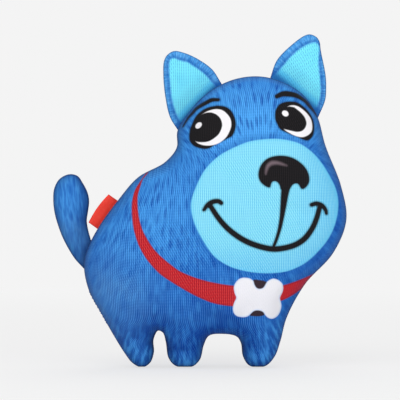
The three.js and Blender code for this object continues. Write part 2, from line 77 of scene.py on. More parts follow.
Socket = bpy.types.NodeSocket
METRE = 0.001
CHUNK = 1500
CURVE_SAMPLES = 60
SHARP_ANGLE = 65
EDGE_STEP = 0.8
FAR = 900.0


class Side(Enum):
    """Which face of the toy a cover is on; the value is the sign of its y."""

    FRONT = -1
    BACK = 1


def unit(vectors: Array) -> Array:
    """The vectors, each brought to a length of one."""
    return vectors / np.linalg.norm(vectors, axis=1)[:, None]


def run_along(line: Array, closed: bool = False) -> Array:
    """The length up to each sample of a line; a closed line's own length comes last."""
    steps = np.roll(line, -1, 0) - line if closed else np.diff(line, axis=0)
    return np.concatenate([[0], np.cumsum(np.linalg.norm(steps, axis=1))])


def chunks(points: Array) -> list[Array]:
    """The points in parts, so that a table of each point against a whole line stays small."""
    return np.array_split(points, max(len(points) // CHUNK, 1))


def raised(plan: Array, height: Array) -> Array:
    """Places in the plane and the heights over them, as points of x, height and z."""
    return np.stack([plan[:, 0], height, plan[:, 1]], axis=1)


def nearness(square: Array, reach: Array | float) -> Array:
    """A weight that falls from 1 with the squared distance, as exp(-square / 2 reach^2)."""
    return np.exp(-square / (2 * reach**2))


def neighbours(grid: Array) -> list[Array]:
    """A grid moved by one cell each way, so that every cell meets its four neighbours."""
    return [np.roll(grid, step, axis) for axis in (0, 1) for step in (1, -1)]


def blurred(grid: Array, rounds: int) -> Array:
    """A grid after each cell was mixed with its four neighbours a number of times."""
    for _ in range(rounds):
        grid = sum(neighbours(grid), grid) / 5
    return grid


def smoothstep(value: Array, low: float, high: float) -> Array:
    """0 below low, 1 above high, and an even S between them."""
    t = np.clip((value - low) / (high - low), 0, 1)
    return t * t * (3 - 2 * t)


def ring_faces(count: int, rings: int, turned: bool = False) -> list[list[int]]:
    """Four-cornered faces between closed rings of points that follow each other.

    Args:
        count: how many points each ring has.
        rings: how many rings there are.
        turned: whether the faces look the other way.

    Returns:
        The faces' corners.
    """
    here = np.arange(count)
    after = np.roll(here, -1)
    across = [here + count, after + count, after]
    quads = np.stack([here, *(reversed(across) if turned else across)], axis=1)
    return np.concatenate([quads + k * count for k in range(rings - 1)]).tolist()


def spline(points: Array, closed: bool, step: float) -> Array:
    """A smooth line through given points, with evenly spaced samples.

    Formula: a Catmull-Rom curve whose knots are the square roots of the chords, written as a cubic
    between neighbours, then read off at equal lengths.

    Args:
        points: the points the line passes through.
        closed: whether its end joins its start.
        step: the spacing wanted between samples.

    Returns:
        The samples; an open line has both its ends.
    """
    p = np.asarray(points, float)
    if closed:
        a, b, c, d = np.roll(p, 1, 0), p, np.roll(p, -1, 0), np.roll(p, -2, 0)
    else:
        ends = np.vstack([2 * p[:1] - p[1:2], p, 2 * p[-1:] - p[-2:-1]])
        a, b, c, d = ends[:-3], ends[1:-2], ends[2:-1], ends[3:]
    k0, k1, k2 = (
        np.sqrt(np.linalg.norm(after - before, axis=1) + 1e-9)[:, None]
        for before, after in ((a, b), (b, c), (c, d))
    )
    leave = ((b - a) / k0 - (c - a) / (k0 + k1) + (c - b) / k1) * k1
    reach = ((c - b) / k1 - (d - b) / (k1 + k2) + (d - c) / k2) * k1
    s = np.linspace(0, 1, CURVE_SAMPLES, endpoint=False)[None, :, None]
    b, c, leave, reach = b[:, None], c[:, None], leave[:, None], reach[:, None]
    dense = (
        (2 * s**3 - 3 * s**2 + 1) * b
        + (s**3 - 2 * s**2 + s) * leave
        + (3 * s**2 - 2 * s**3) * c
        + (s**3 - s**2) * reach
    ).reshape(-1, p.shape[1])
    dense = np.vstack([dense, dense[:1] if closed else p[-1:]])
    run = run_along(dense)
    count = max(int(round(run[-1] / step)), 3)
    wanted = np.linspace(0, run[-1], count + 1)[: count if closed else None]
    return np.stack([np.interp(wanted, run, column) for column in dense.T], axis=1)


def contains(line: Array, points: Array) -> Array:
    """Which points lie inside a closed line.

    Formula: those whose level ray crosses the line an odd number of times.

    Args:
        line: the line's samples.
        points: the points that are tested.

    Returns:
        True for each point inside.
    """
    start, end = line, np.roll(line, -1, 0)
    rise = np.where(start[:, 1] == end[:, 1], 1e-12, end[:, 1] - start[:, 1])
    slant = ((end - start)[:, 0] / rise)[None]
    found = []
    for part in chunks(points):
        x, z = part[:, :1], part[:, 1:2]
        spans = (start[None, :, 1] > z) != (end[None, :, 1] > z)
        across = start[None, :, 0] + (z - start[None, :, 1]) * slant
        found.append((spans & (x < across)).sum(1) % 2 == 1)
    return np.concatenate(found)


def nearest(line: Array, points: Array, closed: bool) -> tuple[Array, Array, Array]:
    """The closest place on a line to each point.

    Formula: each point is projected on every edge, the share is kept within the edge, and the
    closest of these feet is taken.

    Args:
        line: the line's samples.
        points: the points that are measured.
        closed: whether the line's end joins its start.

    Returns:
        Each point's distance, its foot, and how far along the line the foot lies.
    """
    start = line if closed else line[:-1]
    edge = (np.roll(line, -1, 0) if closed else line[1:]) - start
    length = np.linalg.norm(edge, axis=1)
    run = run_along(line, closed)
    distances, feet, alongs = [], [], []
    for part in chunks(points):
        offset = part[:, None] - start[None]
        share = np.clip((offset * edge).sum(-1) / (length * length + 1e-12), 0, 1)
        gap = np.linalg.norm(offset - share[..., None] * edge, axis=-1)
        rows = np.arange(len(part))
        best = gap.argmin(1)
        here = share[rows, best]
        distances.append(gap[rows, best])
        feet.append(start[best] + here[:, None] * edge[best])
        alongs.append(run[best] + here * length[best])
    return np.concatenate(distances), np.concatenate(feet), np.concatenate(alongs)


def signed_distance(line: Array, points: Array) -> Array:
    """How far each point lies from a closed line, less than zero inside it."""
    return nearest(line, points, True)[0] * np.where(contains(line, points), -1, 1)


def inward(line: Array) -> Array:
    """The direction into a closed line at each sample, halfway between its two edges there."""
    along = unit(line - np.roll(line, 1, 0)) + unit(np.roll(line, -1, 0) - line)
    return unit(np.stack([-along[:, 1], along[:, 0]], axis=1))


def sampled(grid: Array, corner: Array, cell: float, points: Array) -> Array:
    """A grid's value at each point, evenly mixed between the four cells around it.

    Args:
        grid: the values, by row and column.
        corner: where the grid's first cell is.
        cell: the spacing of its cells.
        points: places in the plane.

    Returns:
        The value at each place.
    """
    place = (points - corner) / cell
    column = np.clip(np.floor(place[:, 0]).astype(int), 0, grid.shape[1] - 2)
    row = np.clip(np.floor(place[:, 1]).astype(int), 0, grid.shape[0] - 2)
    x = np.clip(place[:, 0] - column, 0, 1)
    z = np.clip(place[:, 1] - row, 0, 1)
    low = grid[row, column] * (1 - x) + grid[row, column + 1] * x
    high = grid[row + 1, column] * (1 - x) + grid[row + 1, column + 1] * x
    return low * (1 - z) + high * z


@dataclass(frozen=True)
class Seat:
    """A stretch of the cover's seam in which a piece is sewn."""

    base: Array
    middle: Array
    along: Array
    out: Array
    crown: float

    @classmethod
    def on(cls, seam: Array, share: float, width: float, gap: float) -> "Seat":
        """Finds the stretch of a seam around one share of its length.

        Args:
            seam: the cover's outline.
            share: where the middle of the stretch is, as a share of the seam's length.
            width: how much of the seam it takes up.
            gap: how far outside the seam the piece starts.

        Returns:
            The seat, with its directions along the seam and out of it.
        """
        run = run_along(seam, True)
        wanted = np.abs(run[:-1] - share * run[-1]) <= width / 2
        base = (seam - inward(seam) * gap)[wanted]
        along = (base[-1] - base[0]) / np.linalg.norm(base[-1] - base[0])
        out = np.array([along[1], -along[0]])
        middle = (base[0] + base[-1]) / 2
        return cls(base, middle, along, out, float(((base - middle) @ out).max()))

    def place(self, shares: Points, along_size: float, out_size: float) -> Array:
        """Points given in shares of a piece's sizes along the seam and out of it."""
        across, up = np.asarray(shares)[:, :1], np.asarray(shares)[:, 1:]
        return self.middle + across * along_size * self.along + up * out_size * self.out

    def outwards(self, points: Array) -> Array:
        """How far beyond the seam's crown each point lies."""
        return (points - self.middle) @ self.out - self.crown


@dataclass
class Pillow:
    """The swelling of a cover that is filled inside a closed seam.

    Formula: a film under even pressure, tied down along the seam, has height u where the sum of its
    second slopes is minus one; half the cover's depth is depth * tanh(2 * sqrt(u) / spread).
    """

    seam: Array
    depth: float
    spread: float
    cell: float = 1.0
    rounds: int = 420
    film: Array = field(init=False)
    corner: Array = field(init=False)
    asked: Array | None = field(init=False, default=None)
    answer: tuple[Array, Array, Array] | None = field(init=False, default=None)

    def __post_init__(self) -> None:
        """Solves the film on a grid by over-relaxation, black cells and then white ones."""
        self.corner = np.floor(self.seam.min(0)) - 2 * self.cell
        size = np.ceil((self.seam.max(0) - self.corner) / self.cell).astype(int) + 3
        columns, rows = np.meshgrid(np.arange(size[0]), np.arange(size[1]))
        places = np.stack([columns.ravel(), rows.ravel()], axis=1) * self.cell + self.corner
        inside = contains(self.seam, places).reshape(rows.shape)
        film = np.zeros(rows.shape)
        pull = 2 / (1 + math.sin(math.pi / min(size)))
        colours = [inside & ((rows + columns) % 2 == colour) for colour in (0, 1)]
        for _ in range(self.rounds):
            for colour in colours:
                level = (sum(neighbours(film)) + self.cell**2) / 4
                film += np.where(colour, pull * (level - film), 0)
        self.film = film

    def beside(self, points: Array) -> tuple[Array, Array, Array]:
        """The closest place on the seam, as nearest gives it.

        The last answer is kept, because many formulas ask for the same points.

        Args:
            points: places in the plane.

        Returns:
            Each point's distance, its foot, and how far along the seam the foot lies.
        """
        if self.asked is not points:
            self.asked, self.answer = points, nearest(self.seam, points, True)
        return self.answer

    def half_depth(self, points: Array) -> Array:
        """Half the depth at each point.

        Formula: as the class says, but within two cells of the seam the film is read at two cells
        from it and scaled down in step with the distance.

        Args:
            points: places in the plane.

        Returns:
            The half depth.
        """
        band = 2 * self.cell
        distance, foot, _ = self.beside(points)
        height = sampled(self.film, self.corner, self.cell, points)
        away = (points - foot) / np.maximum(distance, 1e-6)[:, None]
        further = sampled(self.film, self.corner, self.cell, foot + away * band) * distance / band
        height = np.where(distance < band, further, height)
        return self.depth * np.tanh(2 * np.sqrt(np.maximum(height, 0)) / self.spread)


@dataclass(frozen=True)
class Net:
    """Points and triangles that fill a seam in the plane, finer where something is printed."""

    plan: Array
    faces: Array
    rim: int

    @classmethod
    def within(
        cls,
        seam: Array,
        rings: tuple[float, ...],
        coarse: float,
        fine: float,
        edges: Array | None,
    ) -> "Net":
        """Fills a seam with rings beside it and a triangular lattice inside them.

        Formula: ring points move inwards by the ring's distance, less where the largest circle that
        touches the seam there is small; the rest is triangulated so that no circle holds a point.

        Args:
            seam: the closed outline, counter-clockwise.
            rings: the rings' distances from the seam.
            coarse: the lattice's spacing away from print.
            fine: its spacing beside the edges of print.
            edges: samples of those edges, or None.

        Returns:
            The net, whose first points are the seam's.
        """
        into = inward(seam)
        ease = cls.room(seam, into, rings[-1])
        loops = [seam] + [seam + into * (distance * ease)[:, None] for distance in rings]
        count = len(seam)
        here = np.arange(count)
        after = np.roll(here, -1)
        strips = []
        for low in range(0, len(rings) * count, count):
            high = low + count
            strips.append(np.stack([here + low, after + low, after + high], axis=1))
            strips.append(np.stack([here + low, after + high, here + high], axis=1))
        last = loops[-1]
        inner = cls.lattice(last, coarse)
        keep = contains(last, inner) & (nearest(last, inner, True)[0] > 0.55 * coarse)
        if edges is not None:
            near = cls.close_to(edges, fine, inner)
            small = cls.lattice(last, fine)
            small = small[cls.close_to(edges, fine, small)]
            small = small[contains(last, small)]
            small = small[nearest(last, small, True)[0] > 0.4 * coarse]
            inner = np.vstack([inner[keep & ~near], small])
        else:
            inner = inner[keep]
        points = np.vstack([last, inner])
        closed = np.stack([here, after], axis=1)
        made = delaunay_2d_cdt(points.tolist(), closed.tolist(), [], 0, 1e-7)
        names = np.array([originals[0] for originals in made[3]])
        triangles = names[np.array(made[2])]
        middle = points[triangles].mean(1)
        triangles = triangles[contains(last, middle)] + count * len(rings)
        plan = np.vstack(loops[:-1] + [points])
        faces = np.vstack(strips + [triangles])
        corners = plan[faces]
        first, second = corners[:, 1] - corners[:, 0], corners[:, 2] - corners[:, 0]
        turn = first[:, 0] * second[:, 1] - first[:, 1] * second[:, 0]
        faces = np.where((turn < 0)[:, None], faces[:, ::-1], faces)
        return cls(plan, faces, count)

    @staticmethod
    def room(seam: Array, into: Array, deepest: float) -> Array:
        """What share of their distance the rings may move in at each of the seam's samples.

        Formula: 0.55 of the radius of the largest circle that touches the seam there, over the
        deepest ring's distance, between 0.1 and 1, and eased to its neighbours three times.

        Args:
            seam: the closed outline.
            into: the direction into it at each sample.
            deepest: the deepest ring's distance.

        Returns:
            The shares.
        """
        reach = seam[None] - seam[:, None]
        ahead = (reach * into[:, None]).sum(-1)
        radius = (reach**2).sum(-1) / (2 * np.maximum(ahead, 1e-3))
        circle = np.where(ahead > 1e-3, radius, 1e3).min(1)
        ease = np.clip(0.55 * circle / deepest, 0.1, 1)
        for _ in range(3):
            ease = np.minimum(ease, (np.roll(ease, 1) + ease + np.roll(ease, -1)) / 3)
        return ease

    @staticmethod
    def lattice(line: Array, step: float) -> Array:
        """An even triangular lattice over a line's box, each second row moved by half a step.

        Args:
            line: the line's samples.
            step: the lattice's spacing.

        Returns:
            The lattice's points.
        """
        low, high = line.min(0), line.max(0)
        rows = np.arange(low[1], high[1], step * math.sqrt(3) / 2)
        columns = np.arange(low[0], high[0] + step, step)
        x, z = np.meshgrid(columns, rows)
        x = x + (np.arange(len(rows)) % 2)[:, None] * step / 2
        return np.stack([x.ravel(), z.ravel()], axis=1)

    @staticmethod
    def close_to(edges: Array, fine: float, points: Array) -> Array:
        """Which points lie within about three fine steps of the edges.

        Formula: the cells of a grid that hold an edge are marked, then twice their neighbours too,
        and each point reads its cell.

        Args:
            edges: samples of the edges.
            fine: the grid's cell.
            points: the points that are tested.

        Returns:
            True for each point that is close.
        """
        corner = edges.min(0) - 10 * fine
        size = np.ceil((edges.max(0) - corner) / fine).astype(int) + 12
        marked = np.zeros((size[1], size[0]), bool)
        cells = np.round((edges - corner) / fine).astype(int)
        marked[cells[:, 1], cells[:, 0]] = True
        for _ in range(2):
            marked = np.logical_or.reduce([marked, *neighbours(marked)])
        wanted = np.round((points - corner) / fine).astype(int)
        inside = ((wanted >= 0) & (wanted < size)).all(1)
        wanted = np.clip(wanted, 0, size - 1)
        return marked[wanted[:, 1], wanted[:, 0]] & inside


class Stitchery:
    """Ways of turning worked-out arrays into Blender pieces."""

    @staticmethod
    def placed(name: str, data: bpy.types.ID) -> bpy.types.Object:
        """A new object with the data, at the scene's origin."""
        piece = bpy.data.objects.new(name, data)
        bpy.context.scene.collection.objects.link(piece)
        return piece

    @staticmethod
    def keep(data: bpy.types.Mesh, values: dict[str, Array]) -> None:
        """Keeps numbers for each point of a mesh, under the names that its material reads."""
        for key, numbers in values.items():
            layer = data.attributes.new(key, "FLOAT", "POINT")
            layer.data.foreach_set("value", np.asarray(numbers, np.float32))

    @staticmethod
    def read(data: bpy.types.Mesh) -> tuple[Array, Array]:
        """A mesh's points in millimetres and the normals there.

        Args:
            data: the mesh.

        Returns:
            The points and the normals.
        """
        found = []
        for name in ("co", "normal"):
            numbers = np.empty(len(data.vertices) * 3, np.float32)
            data.vertices.foreach_get(name, numbers)
            found.append(numbers.reshape(-1, 3))
        return found[0] / METRE, found[1]

    @classmethod
    def mesh(
        cls,
        name: str,
        points: Array,
        faces: Array | list,
        values: dict[str, Array] | None = None,
    ) -> bpy.types.Object:
        """Makes a smooth-shaded piece from points in millimetres.

        Args:
            name: the piece's name.
            points: its points, x, y and z.
            faces: its faces' corners.
            values: numbers for each point, as keep takes them.

        Returns:
            The piece, at the origin.
        """
        data = bpy.data.meshes.new(name)
        corners = faces.tolist() if isinstance(faces, np.ndarray) else faces
        data.from_pydata((points * METRE).tolist(), [], corners)
        cls.keep(data, values or {})
        data.shade_smooth()
        data.set_sharp_from_angle(angle=math.radians(SHARP_ANGLE))
        data.update()
        return cls.placed(name, data)

    @classmethod
    def mark_walls(cls, piece: bpy.types.Object) -> None:
        """Keeps for each point where it is and how the cloth there faces.

        Formula: a wall is where the normal's part towards the front or back is below 0.6, softly;
        it faces sideways where the normal's x is larger than its z; and facing is how strongly
        the front's own weave shows, which falls to 0.35 as the cloth turns away.

        Args:
            piece: the cover.
        """
        places, normals = cls.read(piece.data)
        level = np.hypot(normals[:, 0], normals[:, 2]) + 1e-6
        flat = np.abs(normals[:, 1])
        kept = {
            "wall": 1 - smoothstep(flat, 0.42, 0.72),
            "facing": 0.35 + 0.65 * smoothstep(flat, 0.55, 0.95),
            "sideways": smoothstep(np.abs(normals[:, 0]) / level, 0.6, 0.8),
            "plan_x": places[:, 0],
            "depth": places[:, 1],
            "plan_z": places[:, 2],
        }
        cls.keep(piece.data, kept)

    @staticmethod
    def tube(path: Array, radius: float, sides: int) -> tuple[Array, list]:
        """A round cord along a path in space, with a cap at each end.

        Formula: at each sample a ring of points stands square to the path, turned so that its first
        point keeps to one side of a fixed direction.

        Args:
            path: samples of the centre line.
            radius: the cord's half width.
            sides: corners of a ring.

        Returns:
            The tube's points and faces.
        """
        along = unit(np.gradient(path, axis=0))
        fixed = np.array([0.31, 0.83, 0.46])
        first = unit(np.cross(along, fixed))
        second = np.cross(along, first)
        turn = np.linspace(0, 2 * math.pi, sides, endpoint=False)[None, :, None]
        spokes = np.cos(turn) * first[:, None] + np.sin(turn) * second[:, None]
        rings = path[:, None] + radius * spokes
        here = np.arange(sides)
        faces = ring_faces(sides, len(path))
        faces.append(here.tolist())
        faces.append((here[::-1] + (len(path) - 1) * sides).tolist())
        return rings.reshape(-1, 3), faces


def linear(colour: Colour) -> tuple[float, float, float, float]:
    """A screen colour of three 0 to 255 numbers as the linear colour that Blender mixes."""
    parts = [c / 255 for c in colour]
    return (*[c / 12.92 if c <= 0.04045 else ((c + 0.055) / 1.055) ** 2.4 for c in parts], 1.0)


def plug(tree: bpy.types.NodeTree, entry: Socket, wanted: object) -> None:
    """Links something to an input, or sets the input to a constant.

    Args:
        tree: the node tree.
        entry: the input.
        wanted: a Value, an output, a screen colour of three numbers, or a plain setting.
    """
    source = wanted.socket if isinstance(wanted, Value) else wanted
    if isinstance(source, Socket):
        tree.links.new(source, entry)
    else:
        entry.default_value = linear(source) if isinstance(source, tuple) else source


class Value:
    """A number that a shader works out; arithmetic on it adds the Math nodes."""

    def __init__(self, tree: bpy.types.NodeTree, socket: Socket) -> None:
        """Wraps an output socket of a node tree."""
        self.tree = tree
        self.socket = socket

    def combine(self, operation: str, *others: "Value | float", swapped: bool = False) -> "Value":
        """Joins this value and others in one Math node.

        Args:
            operation: the Math node's operation.
            others: the other operands.
            swapped: whether this value comes second.

        Returns:
            The node's result.
        """
        node = self.tree.nodes.new("ShaderNodeMath")
        node.operation = operation
        operands = [self, *others]
        if swapped:
            operands.reverse()
        for entry, operand in zip(node.inputs, operands):
            plug(self.tree, entry, operand)
        return Value(self.tree, node.outputs[0])

    def __add__(self, other: "Value | float") -> "Value":
        """The sum."""
        return self.combine("ADD", other)

    def __sub__(self, other: "Value | float") -> "Value":
        """The difference."""
        return self.combine("SUBTRACT", other)

    def __rsub__(self, other: float) -> "Value":
        """The difference from a plain number."""
        return self.combine("SUBTRACT", other, swapped=True)

    def __mul__(self, other: "Value | float") -> "Value":
        """The product."""
        return self.combine("MULTIPLY", other)

    def __truediv__(self, other: "Value | float") -> "Value":
        """The quotient."""
        return self.combine("DIVIDE", other)

    def __abs__(self) -> "Value":
        """The value without its sign."""
        return self.combine("ABSOLUTE")

    __radd__ = __add__
    __rmul__ = __mul__

    def least(self, other: "Value | float") -> "Value":
        """The smaller of two values."""
        return self.combine("MINIMUM", other)

    def most(self, other: "Value | float") -> "Value":
        """The larger of two values."""
        return self.combine("MAXIMUM", other)

    def sine(self) -> "Value":
        """The sine of an angle in radians."""
        return self.combine("SINE")

    def wave(self, length: float) -> "Value":
        """A sine that comes round once in each length."""
        return (self * (2 * math.pi / length)).sine()

    def between(self, low: float, high: float, start: float = 0.0, end: float = 1.0) -> "Value":
        """An S-shaped step.

        Args:
            low: the value up to which the result is start.
            high: the value from which the result is end.
            start: the result below the step.
            end: the result above it.

        Returns:
            The step's result.
        """
        node = self.tree.nodes.new("ShaderNodeMapRange")
        node.interpolation_type = "SMOOTHSTEP"
        for entry, wanted in zip(node.inputs, (self, low, high, start, end)):
            plug(self.tree, entry, wanted)
        return Value(self.tree, node.outputs["Result"])

    def inside(self, soft: float) -> "Value":
        """1 where a distance is below zero and 0 above it, with a narrow soft edge."""
        return self.between(-soft, soft, 1.0, 0.0)


class Nodes:
    """A node tree under construction."""

    def __init__(self, tree: bpy.types.NodeTree) -> None:
        """Keeps the tree."""
        self.tree = tree

    def node(self, kind: str, settings: dict | None = None, **sockets: object) -> bpy.types.Node:
        """Adds a node.

        Args:
            kind: the node's type.
            settings: its settings, set before its sockets.
            sockets: what goes to its inputs, with underscores for the spaces in their names.

        Returns:
            The node.
        """
        made = self.tree.nodes.new(kind)
        for key, setting in (settings or {}).items():
            setattr(made, key, setting)
        for key, wanted in sockets.items():
            plug(self.tree, made.inputs[key.replace("_", " ")], wanted)
        return made

    def value(self, name: str) -> Value:
        """A number kept for each point of the mesh."""
        made = self.node("ShaderNodeAttribute", {"attribute_name": name})
        return Value(self.tree, made.outputs["Fac"])

    def place(self) -> tuple[Value, Value, Value]:
        """The object's own coordinates in millimetres."""
        source = self.node("ShaderNodeTexCoord").outputs["Object"]
        made = self.node("ShaderNodeSeparateXYZ", Vector=source)
        return tuple(Value(self.tree, made.outputs[k]) * (1 / METRE) for k in range(3))

    def noise(
        self,
        place: tuple[Value, Value, Value],
        scales: tuple[float, float, float],
        detail: float,
    ) -> Value:
        """Smooth noise between about 0.2 and 0.8.

        Args:
            place: the coordinates that it is read at.
            scales: how fast it changes along each of them.
            detail: how many finer layers it has.

        Returns:
            The noise.
        """
        x, y, z = (part * scale for part, scale in zip(place, scales))
        where = self.node("ShaderNodeCombineXYZ", X=x, Y=y, Z=z)
        made = self.node(
            "ShaderNodeTexNoise", Vector=where.outputs[0], Scale=1.0, Detail=detail
        )
        return Value(self.tree, made.outputs["Fac"])

    def mix(self, share: Value | float, first: object, second: object) -> Socket:
        """A colour that goes from the first to the second with the share.

        Args:
            share: how much of the second there is.
            first: a colour or an output.
            second: a colour or an output.

        Returns:
            The mixed colour.
        """
        made = self.node("ShaderNodeMix", {"data_type": "RGBA"})
        for slot, wanted in ((0, share), (6, first), (7, second)):
            plug(self.tree, made.inputs[slot], wanted)
        return made.outputs[2]

    def seen_by(self, *rays: str) -> Value:
        """1 for the camera's own rays and those of further kinds, and 0 for the rest.

        Args:
            rays: the further kinds.

        Returns:
            The share.
        """
        path = self.node("ShaderNodeLightPath")
        seen = Value(self.tree, path.outputs["Is Camera Ray"])
        for ray in rays:
            seen = seen.most(Value(self.tree, path.outputs[f"Is {ray} Ray"]))
        return seen

    def show(self, share: Value, first: Socket, second: Socket, target: str) -> None:
        """Sends a mix of two shaders to the tree's output node.

        Args:
            share: how much of the second there is.
            first: one shader.
            second: the other.
            target: the output node's name.
        """
        made = self.node("ShaderNodeMixShader")
        for entry, wanted in zip(made.inputs, (share, first, second)):
            plug(self.tree, entry, wanted)
        self.tree.links.new(made.outputs[0], self.tree.nodes[target].inputs["Surface"])


class Finish(Nodes):
    """One material under construction."""

    def __init__(
        self, name: str, roughness: float, sheen: float = 0.0, specular: float = 0.3
    ) -> None:
        """Starts a material with its Principled shader.

        Args:
            name: the material's name.
            roughness: the shader's roughness where nothing varies it.
            sheen: weight of the soft fuzz at grazing angles.
            specular: level of the plain reflection.
        """
        self.material = bpy.data.materials.new(name)
        self.material.use_nodes = True
        super().__init__(self.material.node_tree)
        self.shader = self.tree.nodes["Principled BSDF"]
        self.feed("Roughness", roughness)
        self.feed("Sheen Weight", sheen)
        self.feed("Sheen Roughness", 0.5)
        self.feed("Specular IOR Level", specular)

    def feed(self, name: str, source: object) -> None:
        """Sets what one of the shader's inputs gets."""
        plug(self.tree, self.shader.inputs[name], source)

    def relief(self, height: Value, distance: float, strength: float = 1.0) -> None:
        """Raises the surface by a height in units of a distance in millimetres."""
        made = self.node(
            "ShaderNodeBump", Strength=strength, Distance=distance * METRE, Height=height
        )
        self.feed("Normal", made.outputs["Normal"])


def weave(finish: Finish, u: Value, v: Value, rib: float) -> Value:
    """Height of a ribbed cloth, from 0 to 1.

    Formula: ribs run along v as a sine of u, cross threads are a weaker sine of v that is offset
    from rib to rib, slanted lines come and go in patches, and a little noise moves them all.

    Args:
        finish: the material it is for.
        u: millimetres across the ribs.
        v: millimetres along them.
        rib: the ribs' spacing in millimetres.

    Returns:
        The height.
    """
    wander = finish.noise((u, v, v), (0.05, 0.05, 0.0), 1.0)
    across = (u + wander * 2.2).wave(rib)
    threads = ((v + wander * 1.6) * (2 * math.pi / (0.8 * rib)) + across).sine()
    patch = finish.noise((u + 31.0, v, v), (0.022, 0.022, 0.0), 1.0).between(0.46, 0.6)
    slant = (u * 0.86 + v * 0.5 + wander * 3.0).wave(1.15 * rib)
    return across * (0.3 - patch * 0.14) + threads * 0.15 + slant * patch * 0.18 + 0.5


@dataclass(frozen=True)
class PrintedCloth:
    """Ribbed cloth printed with a blue coat, short strokes of fur and the face."""

    deep: Colour = (0, 67, 159)
    coat: Colour = (34, 108, 193)
    bright: Colour = (78, 170, 245)
    rib_light: Colour = (104, 178, 244)
    # Greyish painted highlight on the trunk's lower left; on the tail the same grey is laid evenly,
    # more of it lower down.
    wear_and_highlight: Colour = (98, 142, 178)
    # Dark navy of the painted shade beside the seams, also used for the soft halo around the black
    # print.
    seam_shade: Colour = (10, 40, 84)
    muzzle: Colour = (128, 218, 240)
    muzzle_light: Colour = (186, 244, 254)
    muzzle_shade: Colour = (82, 180, 232)
    muzzle_edge: Colour = (92, 196, 244)
    collar: Colour = (196, 34, 44)
    collar_light: Colour = (232, 92, 88)
    collar_shade: Colour = (112, 18, 38)
    tag: Colour = (240, 239, 244)
    tag_shade: Colour = (216, 216, 226)
    tag_edge: Colour = (196, 214, 244)
    notch: Colour = (56, 44, 52)
    ink: Colour = (26, 25, 27)
    ink_light: Colour = (62, 56, 60)
    # Painted shade of the black print between the ribs.
    ink_valley_shade: Colour = (14, 14, 16)
    white: Colour = (242, 240, 244)
    shine: Colour = (122, 106, 114)
    rib: float = 1.35
    tick: Point = (4.3, 15.5)

    def build(self, name: str, face: bool) -> bpy.types.Material:
        """Makes the cover's material.

        Args:
            name: its name.
            face: whether the face, the collar's tag and the muzzle are printed on it.

        Returns:
            The material.
        """
        made = Printing(name, self)
        # Painted shade between the coat's ribs and a painted highlight on them.
        colour = made.ribbed(made.coat(), self.deep, self.rib_light, 0.85)
        if face:
            colour = made.snout(colour)
        colour = made.red_band(colour)
        if face:
            colour = made.features(made.tagged(colour))
        # Painted shade beside the seam, where the cloth turns away: a wide soft band and a thin
        # dark line at the seam itself.
        seam_shade = made.value("seam_shade")
        colour = made.mix(seam_shade.between(0.0, 7.5, 0.34, 0.0), colour, self.seam_shade)
        colour = made.mix(seam_shade.between(0.2, 2.0, 0.6, 0.0), colour, self.seam_shade)
        made.feed("Base Color", colour)
        made.relief(made.height, 0.16, 0.5)
        return made.material


